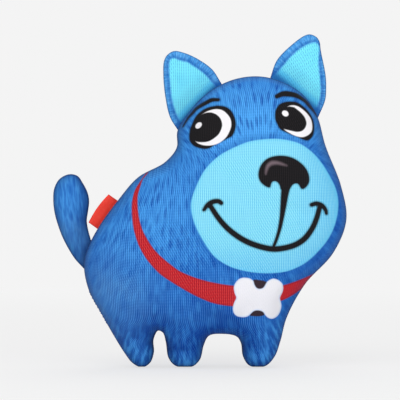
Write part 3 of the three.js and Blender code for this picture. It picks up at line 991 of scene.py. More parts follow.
class Printing(Finish):
    """A cover's material under construction: inks over each other on ribbed cloth."""

    def __init__(self, name: str, inks: PrintedCloth) -> None:
        """Starts the material with the height of its weave.

        Args:
            name: the material's name.
            inks: its colours and measures.
        """
        super().__init__(name, 0.92, sheen=0.02, specular=0.08)
        self.inks = inks
        self.u, self.v = self.value("cloth_u"), self.value("cloth_v")
        self.height = self.woven()

    def woven(self) -> Value:
        """Height of the weave, from 0 to 1: the front's, and its own on side and top walls."""
        rib = self.inks.rib
        wall, sideways, depth = (self.value(name) for name in ("wall", "sideways", "depth"))
        flat = weave(self, self.u, self.v, rib) - 0.5
        side = weave(self, depth, self.value("plan_z"), rib)
        top = weave(self, self.value("plan_x"), depth, rib)
        turned = side * sideways + top * (1 - sideways) - 0.5
        return flat * (1 - wall) * self.value("facing") + turned * wall * 0.65 + 0.5

    def ticks(self, lay: str, seed: float) -> Value:
        """Printed strokes of fur, each its own strength.

        Formula: points strewn over long narrow cells of the coat's own coordinates, and a stroke
        wherever the nearest one is close; the cells' shape makes it long and narrow.

        Args:
            lay: which of the coat's coordinates it follows, trunk or head.
            seed: moves the strokes.

        Returns:
            How strong the stroke is, from 0 to 1.
        """
        across = self.value(lay + "_u") / self.inks.tick[0]
        along = self.value(lay + "_v") / self.inks.tick[1]
        where = self.node("ShaderNodeCombineXYZ", X=across + seed, Y=along + seed)
        strewn = self.node(
            "ShaderNodeTexVoronoi",
            {"voronoi_dimensions": "2D"},
            Vector=where.outputs[0],
            Scale=1.0,
            Randomness=0.85,
        )
        parts = self.node("ShaderNodeSeparateXYZ", Vector=strewn.outputs["Color"])
        own = Value(self.tree, parts.outputs[0]) * 0.6 + 0.4
        return Value(self.tree, strewn.outputs["Distance"]).between(0.14, 0.36, 1.0, 0.0) * own

    def strokes(self, seed: float) -> Value:
        """Strokes that follow the trunk's coat and, above it, the head's."""
        head = self.value("head_share")
        return self.ticks("trunk", seed) * (1 - head) + self.ticks("head", seed + 40.0) * head

    def streaks(self, width: float, length: float, seed: float) -> Value:
        """Fine noise drawn out along the coat.

        Args:
            width: how wide a streak is.
            length: how long it is.
            seed: moves the streaks.

        Returns:
            The noise, from 0 to 1.
        """
        share = self.value("head_share")
        found = []
        for lay in ("trunk", "head"):
            across, along = self.value(lay + "_u"), self.value(lay + "_v")
            place = (across, along, along * 0.0 + seed)
            found.append(self.noise(place, (1 / width, 1 / length, 1.0), 2.0))
        return found[0] * (1 - share) + found[1] * share

    def ribbed(self, colour: object, dark: Colour, light: Colour, share: float) -> Socket:
        """A colour that changes with the weave's height: painted shade between the ribs, a painted
        highlight on them.

        Args:
            colour: the colour halfway up.
            dark: the painted shade between the ribs.
            light: the painted highlight on them.
            share: how far it goes.

        Returns:
            The colour.
        """
        colour = self.mix((0.5 - self.height).most(0.0) * (2 * share), colour, dark)
        return self.mix((self.height - 0.5).most(0.0) * (1.5 * share), colour, light)

    def coat(self) -> Socket:
        """The blue coat.

        Formula: a brightness, partly the print's own shading and partly painted shade, goes from
        deep over the coat's own blue to bright; patches of noise and streaks move it, a greyish
        painted highlight lies on it, and dark and light strokes of fur lie on it.

        Returns:
            The colour.
        """
        inks = self.inks
        patches = self.noise((self.u, self.v, self.v), (0.05, 0.05, 0.0), 3.0)
        drawn = self.streaks(1.5, 11.0, 3.0).between(0.34, 0.66) - 0.5
        tone_and_shade = self.value("tone_and_shade") + (patches - 0.5) * 0.3 + drawn * self.value("streak")
        tone_and_shade = tone_and_shade.most(0.0).least(1.0)
        base = self.mix((tone_and_shade * 2.0).least(1.0), inks.deep, inks.coat)
        base = self.mix((tone_and_shade * 2.0 - 1.0).most(0.0), base, inks.bright)
        # Greyish patches: a painted highlight at the trunk's lower left, and on the tail an even
        # grey that grows lower down.
        base = self.mix(self.value("wear_and_highlight") * (patches * 1.2), base, inks.wear_and_highlight)
        ticked = self.value("ticked") * (1 - self.value("wall") * 0.6)
        base = self.mix(self.strokes(0.0) * ticked * 0.85, base, inks.deep)
        return self.mix(self.strokes(17.5) * ticked * 0.3, base, inks.bright)

    def red_band(self, colour: Socket) -> Socket:
        """The collar over a colour: ribbed red with darker edges."""
        band, inks = self.value("collar"), self.inks
        red = self.ribbed(inks.collar, inks.collar_shade, inks.collar_light, 0.95)
        red = self.mix(band.between(-1.6, 0.2) * 0.55, red, inks.collar_shade)
        return self.mix(band.inside(0.5), colour, red)

    def snout(self, colour: Socket) -> Socket:
        """The light muzzle over a colour, which is darker beside it.

        Args:
            colour: the colour under it.

        Returns:
            The colour.
        """
        edge, inks = self.value("muzzle"), self.inks
        colour = self.mix(edge.between(0.0, 7.0, 0.3, 0.0), colour, inks.deep)
        # Painted shade over the muzzle's right and lower part, broken up by streaks.
        shade = self.value("muzzle_shade") + (self.streaks(2.0, 9.0, 9.0) - 0.5) * 0.35
        light = self.mix(shade.most(0.0), inks.muzzle, inks.muzzle_shade)
        light = self.ribbed(light, inks.muzzle_shade, inks.muzzle_light, 1.0)
        light = self.mix(edge.between(-3.0, 0.4) * 0.4, light, inks.muzzle_edge)
        return self.mix(edge.inside(0.6), colour, light)

    def tagged(self, colour: Socket) -> Socket:
        """The bone-shaped tag and the dark gaps beside it.

        Args:
            colour: the colour under it.

        Returns:
            The colour.
        """
        tag, inks = self.value("tag"), self.inks
        white = self.ribbed(inks.tag, inks.tag_shade, inks.white, 0.3)
        white = self.mix(tag.between(-1.6, 0.3) * 0.8, white, inks.tag_edge)
        colour = self.mix(self.value("notch").inside(0.5), colour, inks.notch)
        return self.mix(tag.inside(0.4), colour, white)

    def features(self, colour: Socket) -> Socket:
        """Eyes, brows, nose and mouth in black and white.

        Args:
            colour: the colour under them.

        Returns:
            The colour.
        """
        edge, inks = self.value("ink"), self.inks
        black = self.ribbed(inks.ink, inks.ink_valley_shade, inks.ink_light, 0.5)
        # A soft dark halo around the black print.
        colour = self.mix(edge.between(0.3, 1.3, 0.3, 0.0), colour, inks.seam_shade)
        colour = self.mix(edge.inside(0.5), colour, black)
        colour = self.mix(self.value("shine").between(-0.9, 1.9, 0.9, 0.0), colour, inks.shine)
        return self.mix(self.value("white").inside(0.42), colour, inks.white)


@dataclass(frozen=True)
class EarCloth:
    """The ears' cloth: a blue rim with fine strokes around a light inner patch."""

    rim: Colour = (72, 154, 226)
    pale: Colour = (112, 188, 246)
    inner: Colour = (122, 235, 255)
    inner_light: Colour = (160, 240, 254)
    inner_shade: Colour = (76, 190, 238)
    deep: Colour = (26, 92, 172)
    # Dark colour of the painted shade along the ear's sewn edge.
    seam_shade: Colour = (12, 52, 112)
    rib: float = 1.35

    def build(self, name: str, inner: bool) -> bpy.types.Material:
        """Makes an ear's material.

        Args:
            name: its name.
            inner: whether the light patch is printed on it.

        Returns:
            The material.
        """
        finish = Finish(name, 0.92, sheen=0.02, specular=0.08)
        x, _, z = finish.place()
        edge, along, tone_and_shade = (finish.value(key) for key in ("edge", "around", "tone_and_shade"))
        height = weave(finish, x, z, self.rib)
        valley_shade, ridge_highlight = (0.5 - height).most(0.0), (height - 0.5).most(0.0)
        strokes = finish.noise((along, edge, edge), (0.7, 0.12, 0.0), 1.0).between(0.42, 0.62)
        patches = finish.noise((x, z, z), (0.09, 0.09, 0.0), 2.0)
        colour = finish.mix(strokes * 0.7, self.rim, self.pale)
        dark = finish.noise((along, edge, edge * 0.0 + 9.0), (0.9, 0.14, 1.0), 1.0)
        colour = finish.mix(dark.between(0.5, 0.62) * 0.5, colour, self.deep)
        colour = finish.mix((patches - 0.45).most(0.0) * 0.9, colour, self.pale)
        if inner:
            patch = finish.value("inner")
            ragged = patch + (strokes - 0.5) * 0.35
            ring = patch.between(0.0, 1.2) - patch.between(1.2, 3.6)
            colour = finish.mix(ring.most(0.0) * 0.55, colour, self.deep)
            # Painted shade between the ribs of the inner patch and a painted highlight on them.
            light = finish.mix(valley_shade * 1.1, self.inner, self.inner_shade)
            light = finish.mix(ridge_highlight * 0.7, light, self.inner_light)
            # Painted shadow on the inner patch near the root, under the head's edge.
            light = finish.mix(tone_and_shade.between(0.55, 1.0, 0.75, 0.0), light, self.inner_shade)
            light = finish.mix((patches - 0.5).most(0.0) * 1.1, light, self.inner_shade)
            colour = finish.mix(ragged.inside(0.9), colour, light)
        # Painted shade between the ribs.
        colour = finish.mix(valley_shade * 1.1, colour, self.deep)
        # Painted shadow over the ear near its root, under the head's edge.
        colour = finish.mix(tone_and_shade.between(0.0, 0.6, 0.85, 0.0), colour, self.deep)
        # Painted shade in a thin line along the ear's sewn edge.
        colour = finish.mix(edge.between(0.0, 1.2, 0.65, 0.0), colour, self.seam_shade)
        finish.feed("Base Color", colour)
        finish.relief(height, 0.14, 0.5)
        return finish.material


@dataclass(frozen=True)
class RibbonCloth:
    """Satin ribbon of the label: fine cross ribs and a soft sheen."""

    red: Colour = (255, 62, 44)
    dark: Colour = (186, 30, 28)
    wear_and_highlight: Colour = (250, 116, 100)
    rib: float = 0.5

    def build(self, name: str) -> bpy.types.Material:
        """Makes the ribbon's material.

        Args:
            name: its name.

        Returns:
            The material.
        """
        finish = Finish(name, 0.55, sheen=0.05, specular=0.25)
        along, across = finish.value("ribbon_along"), finish.value("ribbon_across")
        ribs = across.wave(self.rib) * 0.5 + 0.5
        wear_and_highlight = finish.noise((along, across, across), (0.5, 0.5, 0.0), 3.0)
        selvedge = abs(across).between(11.0, 12.4)
        colour = finish.mix(ribs * 0.2 + selvedge * 0.35, self.red, self.dark)
        colour = finish.mix((wear_and_highlight - 0.5).most(0.0) * 0.9, colour, self.wear_and_highlight)
        finish.feed("Base Color", colour)
        finish.relief(ribs, 0.06, 0.6)
        finish.feed("Roughness", wear_and_highlight * 0.3 + 0.4)
        return finish.material


@dataclass(frozen=True)
class Thread:
    """Twisted sewing thread in two blues."""

    dark: Colour = (38, 92, 166)
    light: Colour = (84, 146, 214)

    def build(self, name: str) -> bpy.types.Material:
        """Makes the thread's material.

        Args:
            name: its name.

        Returns:
            The material.
        """
        finish = Finish(name, 0.6, sheen=0.2)
        x, y, z = finish.place()
        ply = ((x + z) * 5.0 + y * 9.0).sine() * 0.5 + 0.5
        finish.feed("Base Color", finish.mix(ply, self.dark, self.light))
        finish.relief(ply, 0.05)
        return finish.material


@dataclass(frozen=True)
class Fibre:
    """White loose polyester filling."""

    white: Colour = (236, 238, 240)
    grey: Colour = (196, 200, 206)

    def build(self, name: str) -> bpy.types.Material:
        """Makes the filling's material: clouds of fine curled strands.

        Args:
            name: its name.

        Returns:
            The material.
        """
        finish = Finish(name, 0.95, sheen=0.5, specular=0.1)
        place = finish.place()
        clouds = finish.noise(place, (0.12, 0.12, 0.12), 4.0)
        strands = finish.noise(place, (1.1, 0.5, 1.4), 4.0)
        finish.feed("Base Color", finish.mix(clouds.between(0.35, 0.7), self.grey, self.white))
        finish.relief(strands + clouds, 1.2, 0.8)
        return finish.material


@dataclass(frozen=True)
class MouldedPlastic:
    """Moulded vinyl or hard plastic of the squeaker's parts."""

    colour: Colour
    shade: Colour
    roughness: float

    def build(self, name: str) -> bpy.types.Material:
        """Makes the plastic: cloudy colour, fine flow lines and small scuffs.

        Args:
            name: its name.

        Returns:
            The material.
        """
        finish = Finish(name, self.roughness, specular=0.5)
        place = finish.place()
        clouds = finish.noise(place, (0.08, 0.08, 0.08), 3.0)
        flow = finish.noise(place, (0.4, 3.0, 0.4), 2.0)
        scuffs = finish.noise(place, (1.6, 1.6, 0.3), 5.0).between(0.55, 0.7)
        finish.feed("Base Color", finish.mix(clouds.between(0.3, 0.75), self.colour, self.shade))
        finish.relief(flow * 0.4 + scuffs * 0.6, 0.05, 0.5)
        finish.feed("Roughness", scuffs * 0.2 + self.roughness)
        return finish.material


class Shape:
    """A printed shape, as the signed distance from its edge, less than zero inside."""

    def __init__(self, distance: Callable[[Array], Array], edges: Array) -> None:
        """Keeps how the distance is worked out, and samples of the shape's edge."""
        self.distance = distance
        self.edges = edges

    @classmethod
    def within(cls, line: Array) -> "Shape":
        """A filled shape whose edge is a closed line."""
        return cls(lambda at: signed_distance(line, at), line)

    @classmethod
    def patch(cls, points: Points | Array) -> "Shape":
        """A filled shape whose edge passes smoothly through the points."""
        return cls.within(spline(np.array(points), True, EDGE_STEP))

    @classmethod
    def stroke(cls, points: Points, widths: tuple[float, ...]) -> "Shape":
        """A drawn line of changing width.

        Formula: the distance from the line less half its width there; the widths are spread evenly
        along it.

        Args:
            points: the points that the line passes through.
            widths: its widths.

        Returns:
            The shape.
        """
        line = spline(np.array(points), False, EDGE_STEP)
        stops = np.linspace(0, run_along(line)[-1], len(widths))

        def distance(at: Array) -> Array:
            """How far each place is outside the stroke."""
            gap, _, along = nearest(line, at, False)
            return gap - np.interp(along, stops, widths) / 2

        return cls(distance, line)

    @classmethod
    def spot(cls, middle: Point, long: float, short: float, degrees: float) -> "Shape":
        """An oval spot.

        Args:
            middle: its middle.
            long: its longer half width.
            short: its shorter half width.
            degrees: how far the longer one is turned up.

        Returns:
            The shape.
        """
        turn = np.linspace(0, 2 * math.pi, 24, endpoint=False)
        cosine, sine = math.cos(math.radians(degrees)), math.sin(math.radians(degrees))
        x, z = long * np.cos(turn), short * np.sin(turn)
        edge = np.stack([x * cosine - z * sine, x * sine + z * cosine], axis=1)
        return cls.patch(edge + np.array(middle))

    def joined(self, *others: "Shape") -> "Shape":
        """This shape and others as one.

        Args:
            others: the other shapes.

        Returns:
            The joined shape.
        """
        every = (self, *others)
        return Shape(
            lambda at: np.min([shape.distance(at) for shape in every], axis=0),
            np.vstack([shape.edges for shape in every]),
        )

    def without(self, other: "Shape") -> "Shape":
        """This shape where the other isn't.

        Args:
            other: the shape that is taken away.

        Returns:
            The shape that is left.
        """
        return Shape(
            lambda at: np.maximum(self.distance(at), -other.distance(at)),
            np.vstack([self.edges, other.edges]),
        )


@dataclass(frozen=True)
class FacePrint:
    """The printed face, collar and bone-shaped tag, in millimetres of the front's plane."""

    muzzle: Points = (
        (-6.3, 113.2), (-6.0, 120.0), (-1.9, 131.4), (3.9, 142.1), (13.0, 151.2), (22.9, 157.0),
        (35.3, 162.0), (45.2, 163.6), (56.0, 164.0), (65.0, 162.7), (72.5, 160.3), (80.7, 154.5),
        (87.3, 147.1), (94.0, 136.3), (98.1, 127.3), (99.7, 116.4), (97.3, 102.5), (92.3, 91.8),
        (84.9, 82.7), (76.6, 75.2), (68.3, 70.7), (60.1, 68.2), (46.9, 67.3), (32.0, 69.0),
        (20.4, 72.7), (10.4, 79.4), (2.2, 90.9), (-3.6, 102.5),
    )
    nose: Points = (
        (56.7, 151.9), (52.1, 151.2), (48.3, 149.6), (45.1, 146.7), (43.0, 142.9), (42.1, 138.3),
        (43.1, 133.9), (45.7, 131.0), (49.0, 129.1), (50.6, 129.1), (51.2, 131.0), (52.1, 132.9),
        (54.1, 133.5), (56.0, 132.6), (57.5, 130.3), (58.3, 127.5), (60.6, 126.1), (63.9, 126.1),
        (65.0, 128.0), (66.6, 130.6), (68.6, 131.8), (70.5, 131.6), (71.8, 130.0), (73.0, 128.0),
        (74.7, 128.0), (77.2, 130.0), (78.7, 132.9), (78.8, 136.5), (77.6, 140.6), (75.0, 144.5),
        (71.4, 147.7), (67.0, 150.3), (61.8, 151.7),
    )
    shine: Points = (
        (47.4, 138.7), (47.9, 141.6), (49.2, 144.7), (51.6, 146.5), (55.2, 146.8), (58.8, 146.0),
        (62.4, 144.8),
    )
    philtrum: Points = (
        (61.9, 129.0), (61.1, 124.0), (60.1, 115.7), (59.0, 107.5), (57.4, 99.2), (54.9, 90.9),
        (52.9, 86.1),
    )
    mouth: Points = (
        (7.6, 115.7), (13.0, 107.5), (18.7, 100.8), (25.4, 95.1), (33.6, 90.1), (43.6, 86.4),
        (52.6, 84.7), (60.1, 85.3), (68.3, 87.6), (75.0, 91.8), (80.7, 99.2), (84.0, 106.6),
        (86.1, 114.1),
    )
    left_tick: Points = (
        (3.0, 112.9), (5.6, 116.5), (9.7, 118.8), (13.8, 119.0), (15.3, 117.8),
    )
    right_tick: Points = (
        (80.4, 116.5), (84.0, 117.4), (88.2, 115.7), (90.7, 112.4), (91.1, 110.3),
    )
    left_lid: Points = (
        (-7.7, 164.5), (-7.1, 170.7), (-5.3, 175.4), (-3.1, 179.9), (1.1, 184.1), (5.0, 186.3),
        (9.8, 187.6), (14.0, 187.9), (18.2, 187.2), (21.7, 185.1), (24.3, 181.2), (25.9, 175.4),
        (25.2, 170.2), (23.3, 166.2), (19.7, 164.1), (14.5, 161.6), (10.1, 159.4), (6.9, 157.3),
        (3.4, 156.7), (-1.4, 157.7), (-4.7, 159.3), (-6.9, 161.9),
    )
    left_white: Points = (
        (1.7, 181.7), (6.3, 184.2), (12.0, 185.4), (16.2, 184.6), (19.7, 181.8), (22.0, 178.3),
        (22.6, 174.1), (21.4, 169.6), (18.8, 165.1), (14.0, 161.2), (9.2, 159.5), (3.7, 159.3),
        (-0.2, 160.3), (-2.7, 161.9), (-4.6, 167.5), (-3.9, 175.1),
    )
    left_pupil: Points = (
        (0.1, 181.0), (6.3, 183.1), (10.1, 182.5), (13.3, 180.5), (15.3, 177.7), (16.1, 174.1),
        (15.4, 170.9), (13.6, 167.4), (10.1, 164.3), (6.3, 162.2), (1.7, 161.6), (-2.8, 162.2),
        (-6.8, 166.1), (-6.0, 174.7),
    )
    right_lid: Points = (
        (54.1, 180.2), (54.6, 184.8), (57.2, 188.7), (60.7, 190.4), (66.2, 190.9), (70.6, 190.0),
        (74.5, 187.4), (78.4, 183.5), (80.9, 179.3), (82.2, 174.5), (82.2, 169.4), (80.9, 165.5),
        (77.8, 162.9), (74.5, 163.4), (70.6, 165.3), (65.6, 167.2), (60.9, 169.2), (57.8, 171.0),
        (55.9, 174.2), (54.4, 177.7),
    )
    right_white: Points = (
        (63.6, 187.4), (66.8, 188.2), (70.6, 187.4), (74.5, 184.8), (77.8, 181.5), (80.0, 178.0),
        (80.9, 173.8), (80.5, 169.7), (78.4, 167.1), (74.2, 165.3), (69.4, 166.0), (64.9, 168.1),
        (60.7, 171.0), (58.4, 176.9), (59.5, 183.3),
    )
    right_pupil: Points = (
        (61.6, 186.9), (67.5, 186.8), (70.6, 184.8), (73.5, 182.2), (75.8, 179.0), (76.8, 175.1),
        (75.8, 171.9), (73.5, 169.7), (70.0, 169.0), (66.2, 169.7), (62.9, 170.5), (59.8, 171.5),
        (56.6, 176.1), (57.3, 183.3),
    )
    left_brow: Points = (
        (13.5, 192.2), (8.7, 192.0), (4.1, 189.8), (0.4, 187.7), (-2.7, 185.6), (-5.1, 182.8),
        (-8.2, 179.4), (-10.9, 175.1), (-12.3, 172.6),
    )
    right_brow: Points = (
        (55.4, 194.6), (59.8, 196.4), (64.2, 196.3), (69.4, 195.2), (73.6, 192.8), (76.1, 190.9),
        (79.0, 187.4), (82.2, 183.8), (84.5, 180.2),
    )
    tag: Points = (
        (32.1, 64.1), (35.7, 63.6), (38.4, 61.8), (39.3, 59.1), (40.9, 56.7), (43.2, 56.0),
        (45.7, 56.9), (47.3, 59.3), (48.4, 61.1), (50.3, 62.5), (52.7, 63.4), (55.1, 63.0),
        (57.6, 61.6), (59.5, 59.4), (60.0, 56.9), (59.6, 54.1), (58.4, 51.5), (57.6, 49.3),
        (58.2, 46.9), (58.7, 44.2), (58.2, 40.9), (56.9, 37.9), (54.8, 35.6), (51.8, 34.5),
        (49.0, 35.3), (47.0, 37.2), (45.8, 39.1), (44.2, 40.1), (41.4, 40.6), (38.8, 40.0),
        (37.0, 38.5), (35.4, 36.9), (33.0, 35.8), (30.0, 35.7), (26.7, 36.4), (24.5, 38.5),
        (23.8, 40.9), (23.9, 43.3), (24.8, 46.3), (26.1, 49.0), (26.2, 50.2), (25.4, 52.0),
        (24.7, 54.7), (24.5, 56.9), (25.1, 59.3), (26.6, 61.6), (28.5, 63.2), (30.3, 63.9),
    )
    top_notch: Points = (
        (38.7, 62.5), (37.9, 60.9), (39.0, 58.5), (41.1, 56.3), (43.5, 55.6), (46.1, 56.7),
        (47.9, 59.4), (48.2, 60.9), (46.1, 61.8), (42.6, 62.4),
    )
    bottom_notch: Points = (
        (36.0, 36.7), (37.2, 38.8), (39.0, 40.5), (41.4, 41.1), (44.3, 40.5), (46.3, 39.0),
        (46.4, 37.2), (43.8, 36.4), (41.4, 36.2), (38.7, 36.4),
    )
    collar_low: Points = (
        (-37.7, 140.9), (-40.1, 137.7), (-43.4, 132.8), (-46.7, 127.3), (-48.7, 119.5),
        (-49.0, 110.8), (-47.8, 99.7), (-44.6, 88.7), (-40.1, 79.9), (-34.6, 72.7), (-28.0, 66.1),
        (-20.8, 61.2), (-14.3, 57.2), (-1.9, 50.4), (10.4, 45.5), (24.1, 43.4), (40.4, 43.3),
        (57.6, 47.1), (65.0, 50.4), (72.5, 55.4), (78.6, 60.5), (88.0, 68.8),
    )
    collar_high: Points = (
        (-37.0, 139.8), (-39.2, 137.1), (-41.2, 134.4), (-42.9, 129.5), (-44.6, 123.4),
        (-44.8, 116.8), (-44.0, 108.5), (-41.8, 99.7), (-37.4, 90.9), (-32.4, 83.8),
        (-27.4, 78.8), (-20.8, 73.3), (-14.3, 68.7), (-1.9, 63.6), (10.4, 60.4), (24.1, 58.3),
        (41.8, 57.1), (60.1, 58.7), (68.3, 61.2), (76.6, 64.5), (84.9, 68.6), (91.4, 72.7),
    )
    eye_distance: float = 1600.0
    eye_height: float = 120.0

    def moved(self, points: Array, shares: Array) -> Array:
        """Points moved towards the line of sight through the middle or away from it, by shares."""
        centre = np.array([0.0, self.eye_height])
        return centre + (points - centre) * shares[:, None]

    def seen(self, points: Array, forward: Array) -> Array:
        """Where points that stand forward of the middle plane appear on it to the viewer."""
        return self.moved(points, self.eye_distance / (self.eye_distance - forward))

    def laid(self, points: Array, forward: Array) -> Array:
        """Where points that appear on the middle plane lie, on cloth that stands forward of it."""
        return self.moved(points, (self.eye_distance - forward) / self.eye_distance)

    def shapes(self) -> dict[str, Shape]:
        """Every printed shape.

        Returns:
            The shapes, under the names that their material reads.
        """
        left = Shape.patch(self.left_white).without(Shape.patch(self.left_pupil))
        right = Shape.patch(self.right_white).without(Shape.patch(self.right_pupil))
        ink = Shape.patch(self.nose).joined(
            Shape.patch(self.left_lid),
            Shape.patch(self.right_lid),
            Shape.stroke(self.philtrum, (6.2, 4.6, 3.2, 2.4, 2.2)),
            Shape.stroke(self.mouth, (3.6, 4.1, 4.1, 4.1, 3.6)),
            Shape.stroke(self.left_tick, (2.6, 3.5, 3.2)),
            Shape.stroke(self.right_tick, (3.0, 3.5, 2.4)),
            Shape.stroke(self.left_brow, (2.3, 2.9, 2.8, 2.4, 2.0, 1.5, 1.0)),
            Shape.stroke(self.right_brow, (3.2, 4.2, 3.4, 2.4, 2.0, 1.2)),
        )
        glints = Shape.spot((-0.9, 173.7), 2.7, 1.8, 42), Shape.spot((61.5, 182.3), 2.5, 2.0, -35)
        low, high = (
            spline(np.array(edge), False, 1.5) for edge in (self.collar_low, self.collar_high)
        )
        return {
            "muzzle": Shape.patch(self.muzzle),
            "collar": Shape.within(np.vstack([low, high[::-1]])),
            "tag": Shape.patch(self.tag),
            "notch": Shape.patch(self.top_notch).joined(Shape.patch(self.bottom_notch)),
            "ink": ink,
            "white": left.joined(right, *glints),
            "shine": Shape.stroke(self.shine, (-0.6, 0.5, 1.3, 1.6, 1.0, 0.4, -0.6)),
        }


@dataclass
class Cover:
    """The body's two sewn covers: trunk, head and three legs in one outline."""

    shift: float = -83.4387
    trunk_width: float = 189.0
    trunk_height: float = 186.5
    belly: float = 23.5
    sole: float = 0.5
    depth: float = 45.0
    spread: float = 62.0
    lift: float = 1.2
    rim_height: float = 0.0
    wall: float = 0.8
    seam_step: float = 696.9 / 720
    trunk: Points = (
        (0.773, 0.066), (0.842, 0.193), (0.949, 0.313), (0.999, 0.44), (0.979, 0.571),
        (0.92, 0.726), (0.886, 0.846), (0.825, 0.932), (0.701, 0.99), (0.587, 0.987),
        (0.48, 0.938), (0.404, 0.863), (0.356, 0.784), (0.353, 0.72), (0.309, 0.664),
        (0.206, 0.605), (0.13, 0.517), (0.056, 0.413), (0.013, 0.328), (0, 0.27), (0.017, 0.174),
        (0.065, 0.081),
    )
    legs: tuple[tuple[float, float, Points], ...] = (
        (40.0, 20.8, (
            (-0.5, 0.41), (-0.24, 0.13), (0.08, 0), (0.36, 0.13), (0.5, 0.46), (0.486, 0.83),
        )),
        (73.6, 25.6, (
            (-0.574, 0.76), (-0.5, 0.29), (-0.32, 0.06), (-0.05, 0), (0.2, 0.04), (0.39, 0.24),
            (0.5, 0.68),
        )),
        (126.0, 25.0, (
            (-0.524, 0.74), (-0.464, 0.34), (-0.3, 0.07), (-0.04, 0), (0.22, 0.06), (0.46, 0.34),
            (0.62, 0.8),
        )),
    )
    gaps: tuple[Points, ...] = (
        ((0.38, 1.11), (0.76, 1.05)),
        ((0.14, 0.955), (0.5, 1.01), (0.88, 0.93)),
    )
    creases: tuple[tuple[Point, Point, float, float], ...] = (
        ((-22, 13.4), (-5, 12.6), 1.0, 2.2),
        ((-58, 23.5), (-40, 20.5), 0.8, 2.0),
        ((-70, 92), (-60, 86), 0.7, 2.2),
        ((-64, 34), (-50, 44), 0.6, 3.0),
        ((-33, 36), (-38, 52), 0.6, 3.4),
        ((6, 33), (2, 46), 0.5, 3.6),
        ((26, 34), (34, 46), 0.5, 3.4),
    )
    seam: Array = field(init=False)
    pillow: Pillow = field(init=False)

    def __post_init__(self) -> None:
        """Works out the seam's outline and the swelling inside it."""
        rows = []
        for place, width, shares in self.legs:
            share = np.array(shares)
            up = share[:, 1] * (self.belly + self.sole) - self.sole
            rows.append(np.stack([place + share[:, 0] * width, up], axis=1))
        stations = [rows[0]]
        for before, after, gap in zip(rows, rows[1:], self.gaps):
            share = np.array(gap)
            across = before[-1, 0] + share[:, 0] * (after[0, 0] - before[-1, 0])
            stations += [np.stack([across, share[:, 1] * self.belly], axis=1), after]
        share = np.array(self.trunk)
        above = self.belly + share[:, 1] * self.trunk_height
        stations.append(np.stack([share[:, 0] * self.trunk_width, above], axis=1))
        outline = spline(np.vstack(stations), True, self.seam_step)
        outline[:, 0] += self.shift
        outline[:, 1] = np.maximum(outline[:, 1], 0)
        self.seam = outline
        self.pillow = Pillow(outline, self.depth, self.spread)

    def height(self, points: Array) -> Array:
        """How far the cloth stands from the middle plane.

        Formula: the rim's height, the swelling, and the lift times 1 - exp(-distance / 1.2).

        Args:
            points: places in the plane.

        Returns:
            The heights.
        """
        distance = self.pillow.beside(points)[0]
        lift = self.lift * (1 - np.exp(-distance / 1.2))
        return self.rim_height + self.pillow.half_depth(points) + lift

    def pucker(self, points: Array) -> Array:
        """How far the cloth is drawn in beside the seam.

        Formula: waves along the seam whose lengths are near 9 and 5 mm, up to 0.7 mm deep, which
        fade over 7 mm from it; a groove 0.35 mm deep around 2.2 mm from it; and the creases, each
        as deep as it says on its line and fading over its width. All start from nothing at the
        seam.

        Args:
            points: places in the plane.

        Returns:
            Millimetres towards the middle plane.
        """
        distance, _, along = self.pillow.beside(points)
        turn = 2 * math.pi * along / run_along(self.seam, True)[-1]
        wave = 0.6 * np.sin(77 * turn + 1.3 * np.sin(9 * turn))
        wave = wave + 0.4 * np.sin(131 * turn + 0.8 * np.sin(13 * turn))
        strength = 0.7 * (0.6 + 0.4 * np.sin(5 * turn + 0.7))
        drawn = strength * wave * np.exp(-distance / 7.0)
        drawn = drawn + 0.35 * np.exp(-((distance - 2.2) ** 2) / 3)
        for start, end, depth, width in self.creases:
            line = spline(np.array([start, end]), False, 1.0)
            drawn = drawn + depth * np.exp(-((nearest(line, points, False)[0] / width) ** 2))
        return smoothstep(distance, 0, 1.6) * drawn


def cloth_coordinates(
    points: Array, height: Callable[[Array], Array], corner: Array, size: Array
) -> list[Array]:
    """Lengths along the cloth, so that a weave isn't stretched where it turns away.

    Formula: on a 2 mm grid each step across or up counts as its length on the surface, with the
    slope held to 1.3, and the steps are added up from the grid's middle.

    Args:
        points: places in the plane.
        height: the cloth's height over it.
        corner: the lowest corner of the grid.
        size: the grid's width and height.

    Returns:
        The length across and the length up, for each point.
    """
    cell, steepest = 2.0, 1.3
    columns = np.arange(0, size[0] + cell, cell)
    rows = np.arange(0, size[1] + cell, cell)
    x, z = np.meshgrid(columns + corner[0], rows + corner[1])
    level = blurred(height(np.stack([x.ravel(), z.ravel()], axis=1)).reshape(x.shape), 6)
    lengths = []
    for axis in (1, 0):
        slope = np.clip(np.gradient(level, cell, axis=axis), -steepest, steepest)
        run = np.cumsum(np.sqrt(1 + blurred(slope * slope, 8)) * cell, axis=axis)
        middle = np.take(run, [run.shape[axis] // 2], axis=axis)
        lengths.append(sampled(run - middle, corner, cell, points))
    return lengths


def shell(
    name: str,
    side: Side,
    net: Net,
    outer: Array,
    rim_height: float,
    wall: float,
    values: dict[str, Array],
) -> bpy.types.Object:
    """A cover of one side as a closed sheet of cloth.

    Formula: the outer face stands at its height, and the inner face under it by the wall, which
    thins to nothing at the rim as 1 - exp(-height / wall); both share the rim's points.

    Args:
        name: the piece's name.
        side: which side of the toy it is on.
        net: its points and triangles in the plane.
        outer: the outer face's points, x, height and z.
        rim_height: the height of the rim.
        wall: the cloth's thickness.
        values: numbers for the outer points.

    Returns:
        The piece.
    """
    above = np.maximum(outer[:, 1] - rim_height, 0)
    inner = outer.copy()
    inner[:, 1] -= wall * (1 - np.exp(-above / wall))
    points = np.vstack([outer, inner[net.rim :]])
    points[:, 1] *= side.value
    below = np.where(net.faces < net.rim, net.faces, net.faces + len(outer) - net.rim)
    faces = np.vstack([net.faces, below[:, ::-1]])
    if side is Side.BACK:
        faces = faces[:, ::-1]
    doubled = {key: np.concatenate([part, part[net.rim :]]) for key, part in values.items()}
    return Stitchery.mesh(name, points, faces, doubled)


